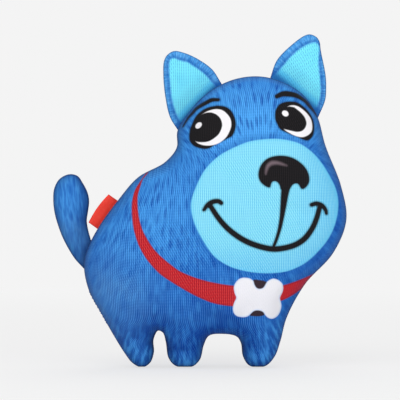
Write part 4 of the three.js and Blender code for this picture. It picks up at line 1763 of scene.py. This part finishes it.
@dataclass
class Swelling:
    """Cloth simulation of the filled body: how far pressure moves its covers."""

    cover: Cover
    frames: int = 20
    pressure: float = 4.0
    cap: float = 2.4
    reach: float = 3.2
    spacing: float = 4.6
    slack: float = -0.035
    tightness: float = 0.985
    rings: tuple[float, ...] = (1.2, 2.9)
    plan: Array = field(init=False)
    moves: dict[Side, Array] = field(init=False)

    def __post_init__(self) -> None:
        """Simulates the joined covers and keeps each point's move."""
        net = Net.within(self.cover.seam[::4], self.rings, self.spacing, self.spacing, None)
        self.plan = net.plan
        still = np.zeros((len(net.plan), 3))
        self.moves = {Side.FRONT: still, Side.BACK: still}
        self.simulate(net)

    def simulate(self, net: Net) -> None:
        """Swells the joined covers under pressure and keeps each point's move.

        Formula: both covers share the rim, which is pinned; each move is shortened to the cap.

        Args:
            net: the points and triangles of one cover.
        """
        height = self.cover.height(net.plan) * self.tightness
        height[: net.rim] = 0
        front = raised(net.plan, -height)
        back = front * np.array([1, -1, 1])
        points = np.vstack([front, back[net.rim :]])
        behind = np.where(net.faces < net.rim, net.faces, net.faces + len(front) - net.rim)
        faces = np.vstack([net.faces, behind[:, ::-1]])
        piece = Stitchery.mesh("swelling_trial", points, faces)
        pinned = piece.vertex_groups.new(name="seam")
        pinned.add(list(range(net.rim)), 1.0, "REPLACE")
        cloth = piece.modifiers.new("cloth", "CLOTH")
        settings = {
            "quality": 6,
            "mass": 0.3,
            "tension_stiffness": 12,
            "compression_stiffness": 12,
            "shear_stiffness": 4,
            "bending_stiffness": 0.4,
            "use_pressure": True,
            "uniform_pressure_force": self.pressure,
            "vertex_group_mass": pinned.name,
            "shrink_min": self.slack,
        }
        for key, setting in settings.items():
            setattr(cloth.settings, key, setting)
        cloth.settings.effector_weights.gravity = 0
        cloth.point_cache.frame_end = self.frames
        scene = bpy.context.scene
        for number in range(1, self.frames + 1):
            scene.frame_set(number)
        settled = piece.evaluated_get(bpy.context.evaluated_depsgraph_get()).to_mesh()
        moved = Stitchery.read(settled)[0] - points
        length = np.linalg.norm(moved, axis=1)[:, None]
        moved *= np.minimum(1, self.cap / np.maximum(length, 1e-9))
        log.info("simulated moves: %.2f mm on average, %.2f at most", length.mean(), length.max())
        self.moves = {
            Side.FRONT: moved[: len(front)],
            Side.BACK: np.vstack([moved[: net.rim], moved[len(front) :]]),
        }
        scene.frame_set(1)
        bpy.data.objects.remove(piece)

    def at(self, side: Side, points: Array) -> Array:
        """The move of the cloth at places in the plane, as x, height and z.

        Formula: the mean of the simulated moves, each weighted by its nearness, which fades to
        nothing at the seam.

        Args:
            side: which cover.
            points: places in the plane.

        Returns:
            The moves in millimetres.
        """
        moves = self.moves[side] * np.array([1, side.value, 1])
        found = []
        for part in chunks(points):
            square = ((part[:, None] - self.plan[None]) ** 2).sum(-1)
            weight = nearness(square, self.reach) + 1e-12
            found.append(weight @ moves / weight.sum(1)[:, None])
        fade = smoothstep(self.cover.pillow.beside(points)[0], 0.5, 7.0)
        return np.concatenate(found) * fade[:, None]


@dataclass
class Body:
    """Builds and dresses the body's front and back cover."""

    cover: Cover
    printed: FacePrint
    cloth: PrintedCloth
    swelling: Swelling
    coarse: float = 1.35
    fine: float = 0.62
    rings: tuple[float, ...] = (0.07, 0.25, 0.55, 0.98, 1.55, 2.3, 3.2)
    # Spots of x, z, brightness and reach: the print's own shading together with painted shade under
    # the belly, between the legs and in creases.
    tones: tuple[tuple[float, float, float, float], ...] = (
        (-74, 104, 0.62, 15), (-62, 66, 0.55, 15), (-46, 128, 0.66, 15), (-30, 98, 0.76, 15),
        (-76, 70, 0.26, 9), (-66, 118, 0.5, 10),
        (28, 178, 0.95, 15), (2, 206, 0.66, 15), (45, 206, 0.56, 15), (84, 188, 0.55, 15),
        (48, 172, 1.0, 15), (101, 112, 0.36, 15), (92, 82, 0.3, 15), (4, 36, 0.22, 15),
        (-24, 40, 0.3, 15), (42, 10, 0.42, 12), (70, 46, 0.36, 15), (-20, 60, 0.5, 15),
        (-22, 160, 0.62, 15), (-20, 120, 0.74, 15), (-14, 14, -0.35, 5), (-14, 5, 0.85, 6),
        (-13, 25, 0.5, 8), (-52, 7, 0.6, 8), (-56, 22, 0.26, 8), (46, 24, 0.5, 8),
        (32, 24, 0.05, 8), (-33, 34, -0.35, 7), (6, 30, -0.15, 8), (20, 34, -0.1, 8),
        (44, 6, 0.6, 6), (46, 132, 0.74, 20), (58, 98, 0.5, 16), (24, 98, 0.62, 16),
        (78, 128, 0.56, 15), (20, 136, 0.78, 16), (40, 66, 0.4, 14),
    )
    trunk_crown: Point = (-15.0, 215.0)
    trunk_turn: float = 115.0
    head_crown: Point = (46.0, 122.0)
    head_turn: float = 66.0
    # Where the greyish painted highlight lies on the trunk, with fewer strokes, and how far it
    # reaches.
    highlight_spot: Point = (-66.0, 50.0)
    highlight_reach: float = 20.0

    def tone_and_shade(self, points: Array) -> Array:
        """How bright the coat is: the print's own shading and painted shade together.

        Formula: the mean of the placed tones, each weighted by its nearness.

        Args:
            points: places in the front's plane.

        Returns:
            The tones, from 0 for deep to 1 for bright.
        """
        places = np.array(self.tones)
        square = ((points[:, None] - places[None, :, :2]) ** 2).sum(-1)
        weight = nearness(square, places[:, 3]) + 1e-9
        return weight @ places[:, 2] / weight.sum(1)

    def lay(self, points: Array) -> dict[str, Array]:
        """Coordinates that the printed fur follows.

        Formula: strokes point at one place for the trunk and at another for the head; across them
        counts the turn around that place times a length, and along them the distance from it.

        Args:
            points: places in the front's plane.

        Returns:
            The coordinates, how much the head's hold, how strong strokes and streaks are, and the
            painted highlight.
        """
        trunk, head = points - np.array(self.trunk_crown), points - np.array(self.head_crown)
        # Weight of the greyish painted highlight, which also thins the strokes there.
        highlight_weight = nearness(((points - np.array(self.highlight_spot)) ** 2).sum(1), self.highlight_reach)
        feet = 1 - smoothstep(points[:, 1], 22, 40)
        return {
            "trunk_u": np.arctan2(trunk[:, 0], -trunk[:, 1]) * self.trunk_turn,
            "trunk_v": np.linalg.norm(trunk, axis=1),
            "head_u": np.arctan2(head[:, 0], head[:, 1]) * self.head_turn,
            "head_v": np.linalg.norm(head, axis=1),
            "head_share": smoothstep(points[:, 1], 146, 164),
            "ticked": (1 - 0.7 * highlight_weight) * (1 - 0.7 * feet),
            "streak": 0.2 + 0.5 * feet,
            "wear_and_highlight": 0.55 * highlight_weight,
        }

    def surface(self, side: Side, plan: Array) -> Array:
        """The outer face's points.

        Formula: the cover's height less its puckers, moved by the simulation, and never lower than
        a slope of 0.4 up to 0.4 mm from the rim, which stays at the rim's height.

        Args:
            side: front or back.
            plan: places in the plane.

        Returns:
            The points, x, height and z.
        """
        distance = self.cover.pillow.beside(plan)[0]
        least = self.cover.rim_height + np.minimum(distance * 0.4, 0.4)
        height = self.cover.height(plan) - self.cover.pucker(plan)
        points = raised(plan, height) + self.swelling.at(side, plan)
        points[:, 1] = np.maximum(points[:, 1], least)
        points[distance < 1e-4, 1] = self.cover.rim_height
        return points

    def values(self, plan: Array, seen: Array, shapes: dict[str, Shape]) -> dict[str, Array]:
        """The numbers that the cloth's material reads.

        Args:
            plan: places in the plane.
            seen: where they appear on the middle plane.
            shapes: what is printed.

        Returns:
            The numbers for each point, under their names.
        """
        values = {key: shape.distance(seen) for key, shape in shapes.items()}
        values["tone_and_shade"] = self.tone_and_shade(seen)
        values.update(self.lay(seen))
        if "muzzle" in shapes:
            # Painted shade on the muzzle's right and lower part.
            right = smoothstep(seen[:, 0], 58, 100)
            low = 1 - smoothstep(seen[:, 1], 66, 96)
            values["muzzle_shade"] = 0.06 + 0.62 * right + 0.55 * low
        # Distance from the seam, which sets the painted shade beside it.
        values["seam_shade"] = self.cover.pillow.beside(plan)[0]
        corner = self.cover.seam.min(0) - 2
        size = self.cover.seam.max(0) + 2 - corner
        values["cloth_u"], values["cloth_v"] = cloth_coordinates(
            plan, self.cover.height, corner, size
        )
        return values

    def build(self, name: str, side: Side) -> bpy.types.Object:
        """Makes one cover, ready to ride.

        Args:
            name: the piece's name.
            side: front or back.

        Returns:
            The piece, with its print worked out for each point.
        """
        face = side is Side.FRONT
        shapes = self.printed.shapes()
        if not face:
            shapes = {"collar": shapes["collar"]}
        edges = np.vstack([shape.edges for shape in shapes.values()])
        if face:
            edges = self.printed.laid(edges, self.cover.height(edges))
        net = Net.within(self.cover.seam, self.rings, self.coarse, self.fine, edges)
        points = self.surface(side, net.plan)
        seen = points[:, [0, 2]]
        if face:
            seen = self.printed.seen(seen, points[:, 1])
        values = self.values(net.plan, seen, shapes)
        piece = shell(name, side, net, points, self.cover.rim_height, self.cover.wall, values)
        Stitchery.mark_walls(piece)
        piece.data.materials.append(self.cloth.build(name + "_cloth", face))
        return piece


@dataclass
class SewnPocket:
    """A flat filled pocket of cloth sewn into the cover's seam, such as an ear or the tail."""

    name: str
    cover: Cover
    seat_share: float
    width: float
    along_size: float
    out_size: float
    shares: Points
    depth: float
    spread: float
    taper: float
    root_share: float
    gap: float = 0.3
    tuck: float = 1.0
    rim_height: float = 0.08
    wall: float = 0.7
    coarse: float = 1.0
    fine: float = 0.55
    rings: tuple[float, ...] = (0.05, 0.18, 0.4, 0.72, 1.15, 1.7)
    bend: tuple[float, float] = (-1.0, 8.0)
    seat: Seat = field(init=False)
    seam: Array = field(init=False)
    pillow: Pillow = field(init=False)

    def __post_init__(self) -> None:
        """Works out the pocket's outline, tucked into the cover's seam, and its swelling."""
        self.seat = Seat.on(self.cover.seam, self.seat_share, self.width, self.gap)
        tucked = Seat.on(self.cover.seam, self.seat_share, self.width, -self.tuck).base
        free = self.seat.place(self.shares, self.along_size, self.out_size)
        edge = spline(np.vstack([self.seat.base[:1], free, self.seat.base[-1:]]), False, EDGE_STEP)
        self.seam = np.vstack([tucked[::-1], edge])
        self.pillow = Pillow(self.seam, self.depth, self.spread, cell=0.6, rounds=260)

    def height(self, points: Array) -> Array:
        """Half the pocket's thickness.

        Formula: the film's swelling and a small lift less puckers beside the sewn edge, times a
        share that grows from the root and a step that keeps the tucked stretch thin.

        Args:
            points: places in the plane.

        Returns:
            The height over the middle plane.
        """
        distance, _, along = self.pillow.beside(points)
        swell = self.pillow.half_depth(points)
        growth = smoothstep(self.seat.outwards(points), 0, self.taper)
        growth = self.root_share + (1 - self.root_share) * growth
        clear = smoothstep(signed_distance(self.cover.seam, points), 0.1, 2.2)
        turn = 2 * math.pi * along
        wave = 0.6 * np.sin(turn / 6.1 + np.sin(turn / 37)) + 0.4 * np.sin(turn / 3.7)
        pucker = 0.22 * wave * np.exp(-distance / 3.0) * smoothstep(distance, 0, 1.0)
        lift = 0.35 * (1 - np.exp(-distance / 0.6))
        body = swell * growth + lift * growth - pucker * growth
        return self.rim_height + np.maximum(body, 0) * clear

    def inner_patch(self) -> Shape | None:
        """The pocket's own print; a plain pocket has none."""
        return None

    def values(self, plan: Array) -> dict[str, Array]:
        """The numbers that its material reads."""
        distance, _, along = self.pillow.beside(plan)
        # How far from the root: the ears' cloth paints shadow where this is low.
        tone_and_shade = smoothstep(self.seat.outwards(plan), -4, 7)
        return {"edge": distance, "around": along, "tone_and_shade": tone_and_shade}

    def material(self, side: Side) -> bpy.types.Material:
        """The cloth of one side."""
        raise NotImplementedError

    def build(self, side: Side) -> bpy.types.Object:
        """Makes one side of the pocket.

        Args:
            side: front or back.

        Returns:
            The piece, without a body.
        """
        patch = self.inner_patch() if side is Side.FRONT else None
        edges = patch.edges if patch else None
        net = Net.within(self.seam, self.rings, self.coarse, self.fine, edges)
        height = self.height(net.plan)
        height[: net.rim] = self.rim_height
        values = self.values(net.plan)
        if patch:
            values["inner"] = patch.distance(net.plan)
        name = f"{self.name}_{side.name.lower()}_cover"
        points = raised(net.plan, height)
        piece = shell(name, side, net, points, self.rim_height, self.wall, values)
        piece.data.materials.append(self.material(side))
        return piece

    def join(self, piece: bpy.types.Object, body: str) -> None:
        """Bakes the piece's place into its own points.

        Args:
            piece: the cover or filling.
            body: the pocket's body; not used.
        """
        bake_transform(piece)


@dataclass
class Ear(SewnPocket):
    """An ear, with a light patch printed on its front."""

    patch: Points = ()

    def inner_patch(self) -> Shape | None:
        """The light patch."""
        return Shape.patch(self.patch)

    def material(self, side: Side) -> bpy.types.Material:
        """The ears' cloth, with the patch in front."""
        return EarCloth().build(f"{self.name}_{side.name.lower()}_cloth", side is Side.FRONT)


@dataclass
class Tail(SewnPocket):
    """The tail, in the coat's own cloth."""

    cloth: PrintedCloth = field(default_factory=PrintedCloth)

    def values(self, plan: Array) -> dict[str, Array]:
        """The numbers that the coat's material reads.

        Formula: painted shade, darker beside the seam, along the right edge and at the root.

        Args:
            plan: places in the plane.

        Returns:
            The numbers for each point, under their names.
        """
        x, z = plan.T
        distance = self.pillow.beside(plan)[0]
        right = smoothstep(x, -96, -78) * (1 - smoothstep(distance, 0, 7))
        root = 1 - smoothstep(self.seat.outwards(plan), -2, 9)
        even = np.ones(len(plan))
        return {
            "cloth_u": x,
            "cloth_v": z,
            "trunk_u": x + z * 0.12,
            "trunk_v": z,
            "head_u": x,
            "head_v": z,
            "head_share": even * 0,
            "ticked": even * 0.5,
            "streak": even * 0.25,
            "wear_and_highlight": 0.2 + 0.25 * (1 - smoothstep(z, 96, 118)),
            # Painted shade beside the seam, along the right edge and at the root.
            "tone_and_shade": 0.62 - 0.2 * np.exp(-distance / 2.2) - 0.14 * right - 0.2 * root,
            "seam_shade": distance,
            "collar": even * FAR,
        }

    def material(self, side: Side) -> bpy.types.Material:
        """The coat's cloth without the face."""
        return self.cloth.build(f"{self.name}_{side.name.lower()}_cloth", False)


@dataclass
class RibbonLabel:
    """A bare ribbon folded over and sewn into the seam."""

    cover: Cover
    seat_share: float = 0.839
    width: float = 25.0
    reach: float = 7.5
    thickness: float = 0.36
    opening: float = 0.55
    gap: float = 0.3
    tuck: float = 1.0
    bow: float = 1.1
    sway: float = 0.3
    flare: float = 0.006
    columns: int = 56

    def profile(self) -> Array:
        """The ribbon's line in the plane across the seam, as out and y.

        Formula: it leaves the seam, opens a little, turns over in a half circle and comes back.

        Returns:
            The samples.
        """
        half = self.thickness / 2 + 0.02
        leg = np.array((
            (-self.tuck, half), (0.3, half), (2.4, half + self.opening * 0.8),
            (self.reach - 0.9, half + self.opening), (self.reach - 0.2, half + self.opening * 0.5),
        ))
        return spline(np.vstack([leg, [(self.reach, 0.0)], leg[::-1] * (1, -1)]), False, 0.3)

    def build(self) -> bpy.types.Object:
        """Makes the ribbon.

        Formula: the profile gets a thickness and is carried along the seam; away from the seam it
        bows outwards as a cosine, sways as a slow sine and narrows by the flare.

        Returns:
            The piece.
        """
        line = self.profile()
        slope = unit(np.gradient(line, axis=0))
        normal = np.stack([-slope[:, 1], slope[:, 0]], axis=1) * self.thickness / 2
        loop = np.vstack([line + normal, (line - normal)[::-1]])
        run = run_along(line)
        seat = Seat.on(self.cover.seam, self.seat_share, self.width, self.gap)
        across = np.linspace(-self.width / 2, self.width / 2, self.columns)
        out = np.broadcast_to(loop[:, 0], (len(across), len(loop)))
        far = smoothstep(out, 0.3, self.reach)
        out = out + far * self.bow * np.cos(across / self.width * math.pi)[:, None]
        sway = self.sway * np.sin(across * 0.33 + 0.6)[:, None] * far
        level = across[:, None] * (1 - self.flare * far)
        place = seat.middle + level[..., None] * seat.along + out[..., None] * seat.out
        points = np.stack([place[..., 0], loop[:, 1] + sway, place[..., 1]], axis=-1)
        count = len(loop)
        faces = ring_faces(count, len(across), turned=True)
        strip = np.arange(count // 2 - 1)
        cap = np.stack([strip, strip + 1, count - 2 - strip, count - 1 - strip], axis=1)
        faces += cap[:, ::-1].tolist() + (cap + (len(across) - 1) * count).tolist()
        values = {
            "ribbon_along": np.tile(np.concatenate([run, run[::-1]]), len(across)),
            "ribbon_across": np.repeat(across, count),
        }
        piece = Stitchery.mesh("ribbon_label", points.reshape(-1, 3), faces, values)
        piece.data.materials.append(RibbonCloth().build("ribbon_label_cloth"))
        return piece


@dataclass
class ClosingStitches:
    """The thread that closes the rump's seam after filling, in small even steps over the gap."""

    cover: Cover
    start: float = 0.925
    end: float = 0.965
    step: float = 2.6
    radius: float = 0.19
    reach: float = 2.1
    proud: float = 0.2
    sunk: float = 0.5
    lean: float = 0.5

    def build(self) -> bpy.types.Object:
        """Makes the stitches, which go from one cover over the seam to the other.

        Formula: each follows the covers' own heights beside the seam, stands proud of them in its
        middle, leans along the seam and sinks into the cloth at both ends.

        Returns:
            All stitches as one piece.
        """
        seam, into = self.cover.seam, inward(self.cover.seam)
        run = run_along(seam, True)
        turn = np.linspace(-1, 1, 15)
        over = np.abs(turn) * self.reach
        sink = self.sunk * smoothstep(np.abs(turn), 0.8, 1.0) - self.proud
        inwards = np.linspace(0, 1.5, 61)
        points, faces = [], []
        for along in np.arange(self.start * run[-1], self.end * run[-1], self.step):
            k = int(np.searchsorted(run[:-1], along)) % len(seam)
            heights = self.cover.height(seam[k] + into[k] * inwards[:, None])
            deep = np.interp(over, heights, inwards) + sink
            aside = np.array([-into[k][1], into[k][0]]) * turn[:, None] * self.lean
            flat = seam[k] + into[k] * deep[:, None] + aside
            ring, joined = Stitchery.tube(raised(flat, over * np.sign(turn)), self.radius, 6)
            first = len(points) * len(ring)
            faces += [[corner + first for corner in face] for face in joined]
            points.append(ring)
        piece = Stitchery.mesh("closing_stitches", np.vstack(points), faces)
        piece.data.materials.append(Thread().build("closing_thread"))
        return piece


@dataclass
class Filling:
    """Loose white fibre that takes the place of a solid filling."""

    voxel: float = 2.4
    roughness: float = 0.9

    def build(self, node: str, material: bpy.types.Material) -> bpy.types.Object:
        """Makes a tuft of fibre in a filling's place.

        Formula: the solid is rebuilt from even cells, and each point sinks along its normal by
        three crossed waves of different lengths, so that the surface is lumpy and never stands out.

        Args:
            node: the name of the solid it replaces.
            material: the fibre's material.

        Returns:
            The piece.
        """
        copied = frame["nodes"][node].data.copy()
        piece = Stitchery.placed(node.replace("_fill", "_fibre"), copied)
        piece.modifiers.new("weld", "WELD").merge_threshold = 1e-6
        remesh = piece.modifiers.new("remesh", "REMESH")
        remesh.mode = "VOXEL"
        remesh.voxel_size = self.voxel * METRE
        settled = piece.evaluated_get(bpy.context.evaluated_depsgraph_get())
        data = bpy.data.meshes.new_from_object(settled)
        piece.modifiers.clear()
        piece.data = data
        places, normals = Stitchery.read(data)
        x, y, z = places.T
        lumps = (
            np.sin(x * 0.9) * np.sin(z * 1.1 + 0.7)
            + np.sin(y * 1.7 + x * 0.4)
            + 0.6 * np.sin(places.sum(1) * 2.3)
        )
        places = places - normals * (0.5 + self.roughness * (lumps / 5.2 + 0.5))[:, None] * 0.6
        data.vertices.foreach_set("co", (places * METRE).astype(np.float32).ravel())
        data.materials.clear()
        data.materials.append(material)
        data.shade_smooth()
        data.update()
        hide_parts(node)
        return piece


@dataclass(frozen=True)
class Lamp:
    """A square soft light: its name, where it stands and its side in metres, and its watts."""

    name: str
    place: tuple[float, float, float]
    size: float
    power: float

    def build(self, height: float) -> None:
        """Adds the light, which faces a point over the origin."""
        data = bpy.data.lights.new(self.name, "AREA")
        data.size = self.size
        data.energy = self.power
        lamp = Stitchery.placed(self.name, data)
        lamp.location = self.place
        x, y, z = np.array([0.0, 0.0, height]) - np.array(self.place)
        turn = math.atan2(y, x) - math.pi / 2
        lamp.rotation_euler = (math.atan2(math.hypot(x, y), -z), 0, turn)


@dataclass(frozen=True)
class Studio:
    """Camera, soft lights, floor and background; its lengths are in metres, but for the floor's."""

    distance: float = 1.6
    height: float = 0.120
    aside: float = 0.0001
    lens: float = 200.0
    pale: Colour = (244, 244, 244)
    grain: Colour = (236, 236, 237)
    ambient: float = 0.405
    lamps: tuple[Lamp, ...] = (
        Lamp("key_light", (-0.5, -1.5, 1.5), 1.6, 21.2),
        Lamp("fill_light", (0.9, -1.4, 0.5), 1.4, 8.5),
        Lamp("back_light", (0.2, 1.0, 1.6), 1.4, 10.0),
    )
    floor_rings: tuple[float, ...] = (400.0, 1000.0, 2500.0, 6000.0, 20000.0)
    floor_drop: float = 0.4

    def camera(self) -> None:
        """Places the camera level in front of the toy, at the photograph's angle."""
        data = bpy.data.cameras.new("camera")
        data.lens = self.lens
        data.clip_end = 20.0
        camera = Stitchery.placed("camera", data)
        camera.location = (self.aside, -self.distance, self.height)
        camera.rotation_euler = (math.radians(90), 0, 0)
        bpy.context.scene.camera = camera

    def world(self) -> None:
        """Fills the shadows evenly from all round, behind a plain background."""
        world = bpy.data.worlds.new("studio")
        world.use_nodes = True
        nodes = Nodes(world.node_tree)
        soft = world.node_tree.nodes["Background"]
        soft.inputs["Color"].default_value = (1, 1, 1, 1)
        soft.inputs["Strength"].default_value = self.ambient
        plain = nodes.node("ShaderNodeBackground", Color=self.pale, Strength=1.0)
        seen = nodes.seen_by("Glossy", "Transmission")
        nodes.show(seen, soft.outputs[0], plain.outputs[0], "World Output")
        bpy.context.scene.world = world

    def floor(self) -> None:
        """Makes a wide round pale floor whose far part has the background's own colour.

        Formula: rings of points around the toy; the share of plain background colour that the
        camera sees grows from 0.72 within 0.3 m of the toy to 1 at 1.4 m from it.
        """
        turn = np.linspace(0, 2 * math.pi, 96, endpoint=False)
        ring = np.stack([np.cos(turn), np.sin(turn), turn * 0], axis=1)
        middle = np.array([[0.0, 0.0, -self.floor_drop]])
        points = np.vstack([ring * far + middle for far in self.floor_rings] + [middle])
        here = np.arange(len(turn))
        fan = np.stack([here, np.roll(here, -1), here * 0 + len(points) - 1], axis=1).tolist()
        faces = fan + ring_faces(len(turn), len(self.floor_rings))
        floor = Stitchery.mesh("floor_disc", points, faces)
        finish = Finish("paper", 0.9, specular=0.1)
        x, y, z = finish.place()
        grain = (finish.noise((x, y, z), (0.4, 0.4, 0.4), 3.0) - 0.5) * 0.04 + 0.02
        finish.feed("Base Color", finish.mix(grain, self.pale, self.grain))
        shine = finish.node("ShaderNodeEmission", Color=self.pale, Strength=1.0)
        away = (x * x + y * y).combine("SQRT").between(300.0, 1400.0, 0.72, 1.0)
        seen = finish.seen_by("Glossy") * away
        finish.show(seen, finish.shader.outputs[0], shine.outputs[0], "Material Output")
        floor.data.materials.append(finish.material)

    def build(self) -> None:
        """Sets the whole studio up."""
        self.camera()
        for lamp in self.lamps:
            lamp.build(self.height)
        self.world()
        self.floor()
        bpy.context.scene.view_settings.view_transform = "Standard"


def report(piece: bpy.types.Object) -> None:
    """Logs a finished piece's name and size."""
    data = piece.data
    log.info("%s: %d points, %d faces", piece.name, len(data.vertices), len(data.polygons))


def build_body(cover: Cover) -> None:
    """Builds the two body covers and the thread that closes them.

    Args:
        cover: the covers' outline and swelling.
    """
    body = Body(cover, FacePrint(), PrintedCloth(), Swelling(cover))
    for name, side, node in (
        ("front_cover", Side.FRONT, "front_panel"),
        ("back_cover", Side.BACK, "back_panel"),
    ):
        piece = body.build(name, side)
        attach(piece, "toy_body")
        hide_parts(node)
        report(piece)
    stitches = ClosingStitches(cover).build()
    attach(stitches, "toy_body")
    report(stitches)


def build_pockets(cover: Cover) -> dict[str, SewnPocket]:
    """Builds the ears and the tail.

    Args:
        cover: the body's cover that they are sewn into.

    Returns:
        The pockets by the name of their body.
    """
    ear_sizes = {
        "cover": cover, "width": 47.0, "along_size": 47.0, "out_size": 42.6,
        "depth": 3.0, "spread": 14.0, "taper": 47.0 * 0.3, "root_share": 0.1,
    }
    pockets = {
        "left_ear": Ear(
            name="left_ear",
            seat_share=0.686,
            shares=(
                (-0.545, 0.28), (-0.51, 0.57), (-0.43, 0.82), (-0.34, 0.965), (-0.22, 1),
                (-0.12, 0.965), (0.03, 0.82), (0.25, 0.54), (0.43, 0.235),
            ),
            patch=(
                (-21.2, 220.6), (-18.6, 221.6), (-14.3, 220.1), (-9.3, 218.9), (-4.2, 215.7),
                (0.9, 212.2), (4.9, 208.7), (7.9, 205.1), (11.6, 200.6), (3.0, 191.3),
                (-7.1, 180.5), (-11.1, 173.3), (-14.0, 176.9), (-16.8, 182.3), (-19.7, 192.0),
                (-21.1, 203.5),
            ),
            **ear_sizes,
        ),
        "right_ear": Ear(
            name="right_ear",
            seat_share=0.568,
            shares=(
                (-0.39, 0.3), (-0.29, 0.46), (-0.15, 0.63), (0.15, 0.9), (0.25, 1),
                (0.335, 1.027), (0.43, 0.995), (0.48, 0.93), (0.54, 0.7), (0.57, 0.3),
            ),
            patch=(
                (51.9, 208.5), (54.3, 210.3), (60.1, 216.5), (65.0, 222.3), (71.6, 228.1),
                (79.1, 232.2), (83.2, 233.0), (85.3, 230.6), (85.0, 220.6), (86.1, 206.6),
                (86.6, 196.7), (85.3, 190.5), (83.2, 186.2), (76.4, 189.1), (66.3, 197.0),
                (57.7, 202.1),
            ),
            **ear_sizes,
        ),
        "tail": Tail(
            name="tail",
            cover=cover,
            seat_share=0.886,
            width=22.0,
            along_size=53.3,
            out_size=34.7,
            shares=(
                (-0.333, 0.115), (-0.44, 0.182), (-0.555, 0.202), (-0.703, 0.234),
                (-0.809, 0.309), (-0.918, 0.454), (-0.994, 0.598), (-0.987, 0.776),
                (-0.893, 0.943), (-0.751, 1), (-0.597, 0.961), (-0.438, 0.871), (-0.3, 0.753),
                (-0.143, 0.587), (-0.009, 0.406), (0.101, 0.225),
            ),
            depth=14.0,
            spread=18.0,
            taper=18.0,
            root_share=0.12,
        ),
    }
    for body, pocket in pockets.items():
        for side in Side:
            piece = pocket.build(side)
            pocket.join(piece, body)
            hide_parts(f"{body}_{side.name.lower()}")
            report(piece)
    return pockets


def build_label(cover: Cover) -> None:
    """Builds the ribbon label.

    Args:
        cover: the body's cover that it is sewn into.
    """
    piece = RibbonLabel(cover).build()
    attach(piece, "label")
    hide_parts("side_label")
    report(piece)


def build_filling(pockets: dict[str, SewnPocket]) -> None:
    """Replaces every solid filling with fibre.

    Args:
        pockets: the pockets by the name of their body.
    """
    filling = Filling()
    material = Fibre().build("loose_fibre")
    for node in sorted(name for name in frame["nodes"] if name.endswith("_fill")):
        piece = filling.build(node, material)
        owner = node.removesuffix("_fill")
        if owner in pockets:
            pockets[owner].join(piece, owner)
        else:
            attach(piece, "toy_body")
        report(piece)


def dress_squeaker() -> None:
    """Gives the squeaker's solids their plastics."""
    bulb = MouldedPlastic((226, 228, 222), (206, 210, 206), 0.4).build("soft_vinyl")
    holder = MouldedPlastic((238, 238, 232), (222, 222, 214), 0.32).build("hard_plastic")
    reed = MouldedPlastic((212, 176, 96), (196, 158, 82), 0.28).build("reed_film")
    looks = {
        "squeaker_back_wall": bulb,
        "squeaker_front_wall": bulb,
        "squeaker_reed_holder": holder,
        "squeaker_reed": reed,
    }
    for node, look in looks.items():
        solid = frame["nodes"][node]
        solid.data.materials.clear()
        solid.data.materials.append(look)
        log.info("%s keeps its solid and gets its plastic", node)
    build_bellows(bulb)


def build_bellows(look: bpy.types.Material) -> None:
    """Copies the bulb's side in its plastic, in place of its solid.

    Args:
        look: the bulb's plastic.
    """
    low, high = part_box("squeaker_bellows")
    squeeze = next(joint for joint in frame["joints"] if joint["name"] == "squeaker_squeeze")
    travel = squeeze["range_m"][1]
    piece = Stitchery.placed("squeaker_pleats", frame["nodes"]["squeaker_bellows"].data.copy())
    piece.data.materials.clear()
    piece.data.materials.append(look)
    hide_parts("squeaker_bellows")
    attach(piece, "toy_body")
    thickness = high[1] - low[1]
    (thickness - travel) / thickness
    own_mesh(piece)
    report(piece)


def main() -> None:
    """Builds the studio and every sub-assembly, and writes how large the result is."""
    logging.basicConfig(level=logging.INFO, format="%(name)s: %(message)s")
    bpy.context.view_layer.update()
    Studio().build()
    cover = Cover()
    build_body(cover)
    pockets = build_pockets(cover)
    build_label(cover)
    build_filling(pockets)
    dress_squeaker()
    bpy.context.view_layer.update()


if __name__ == "__main__":
    main()
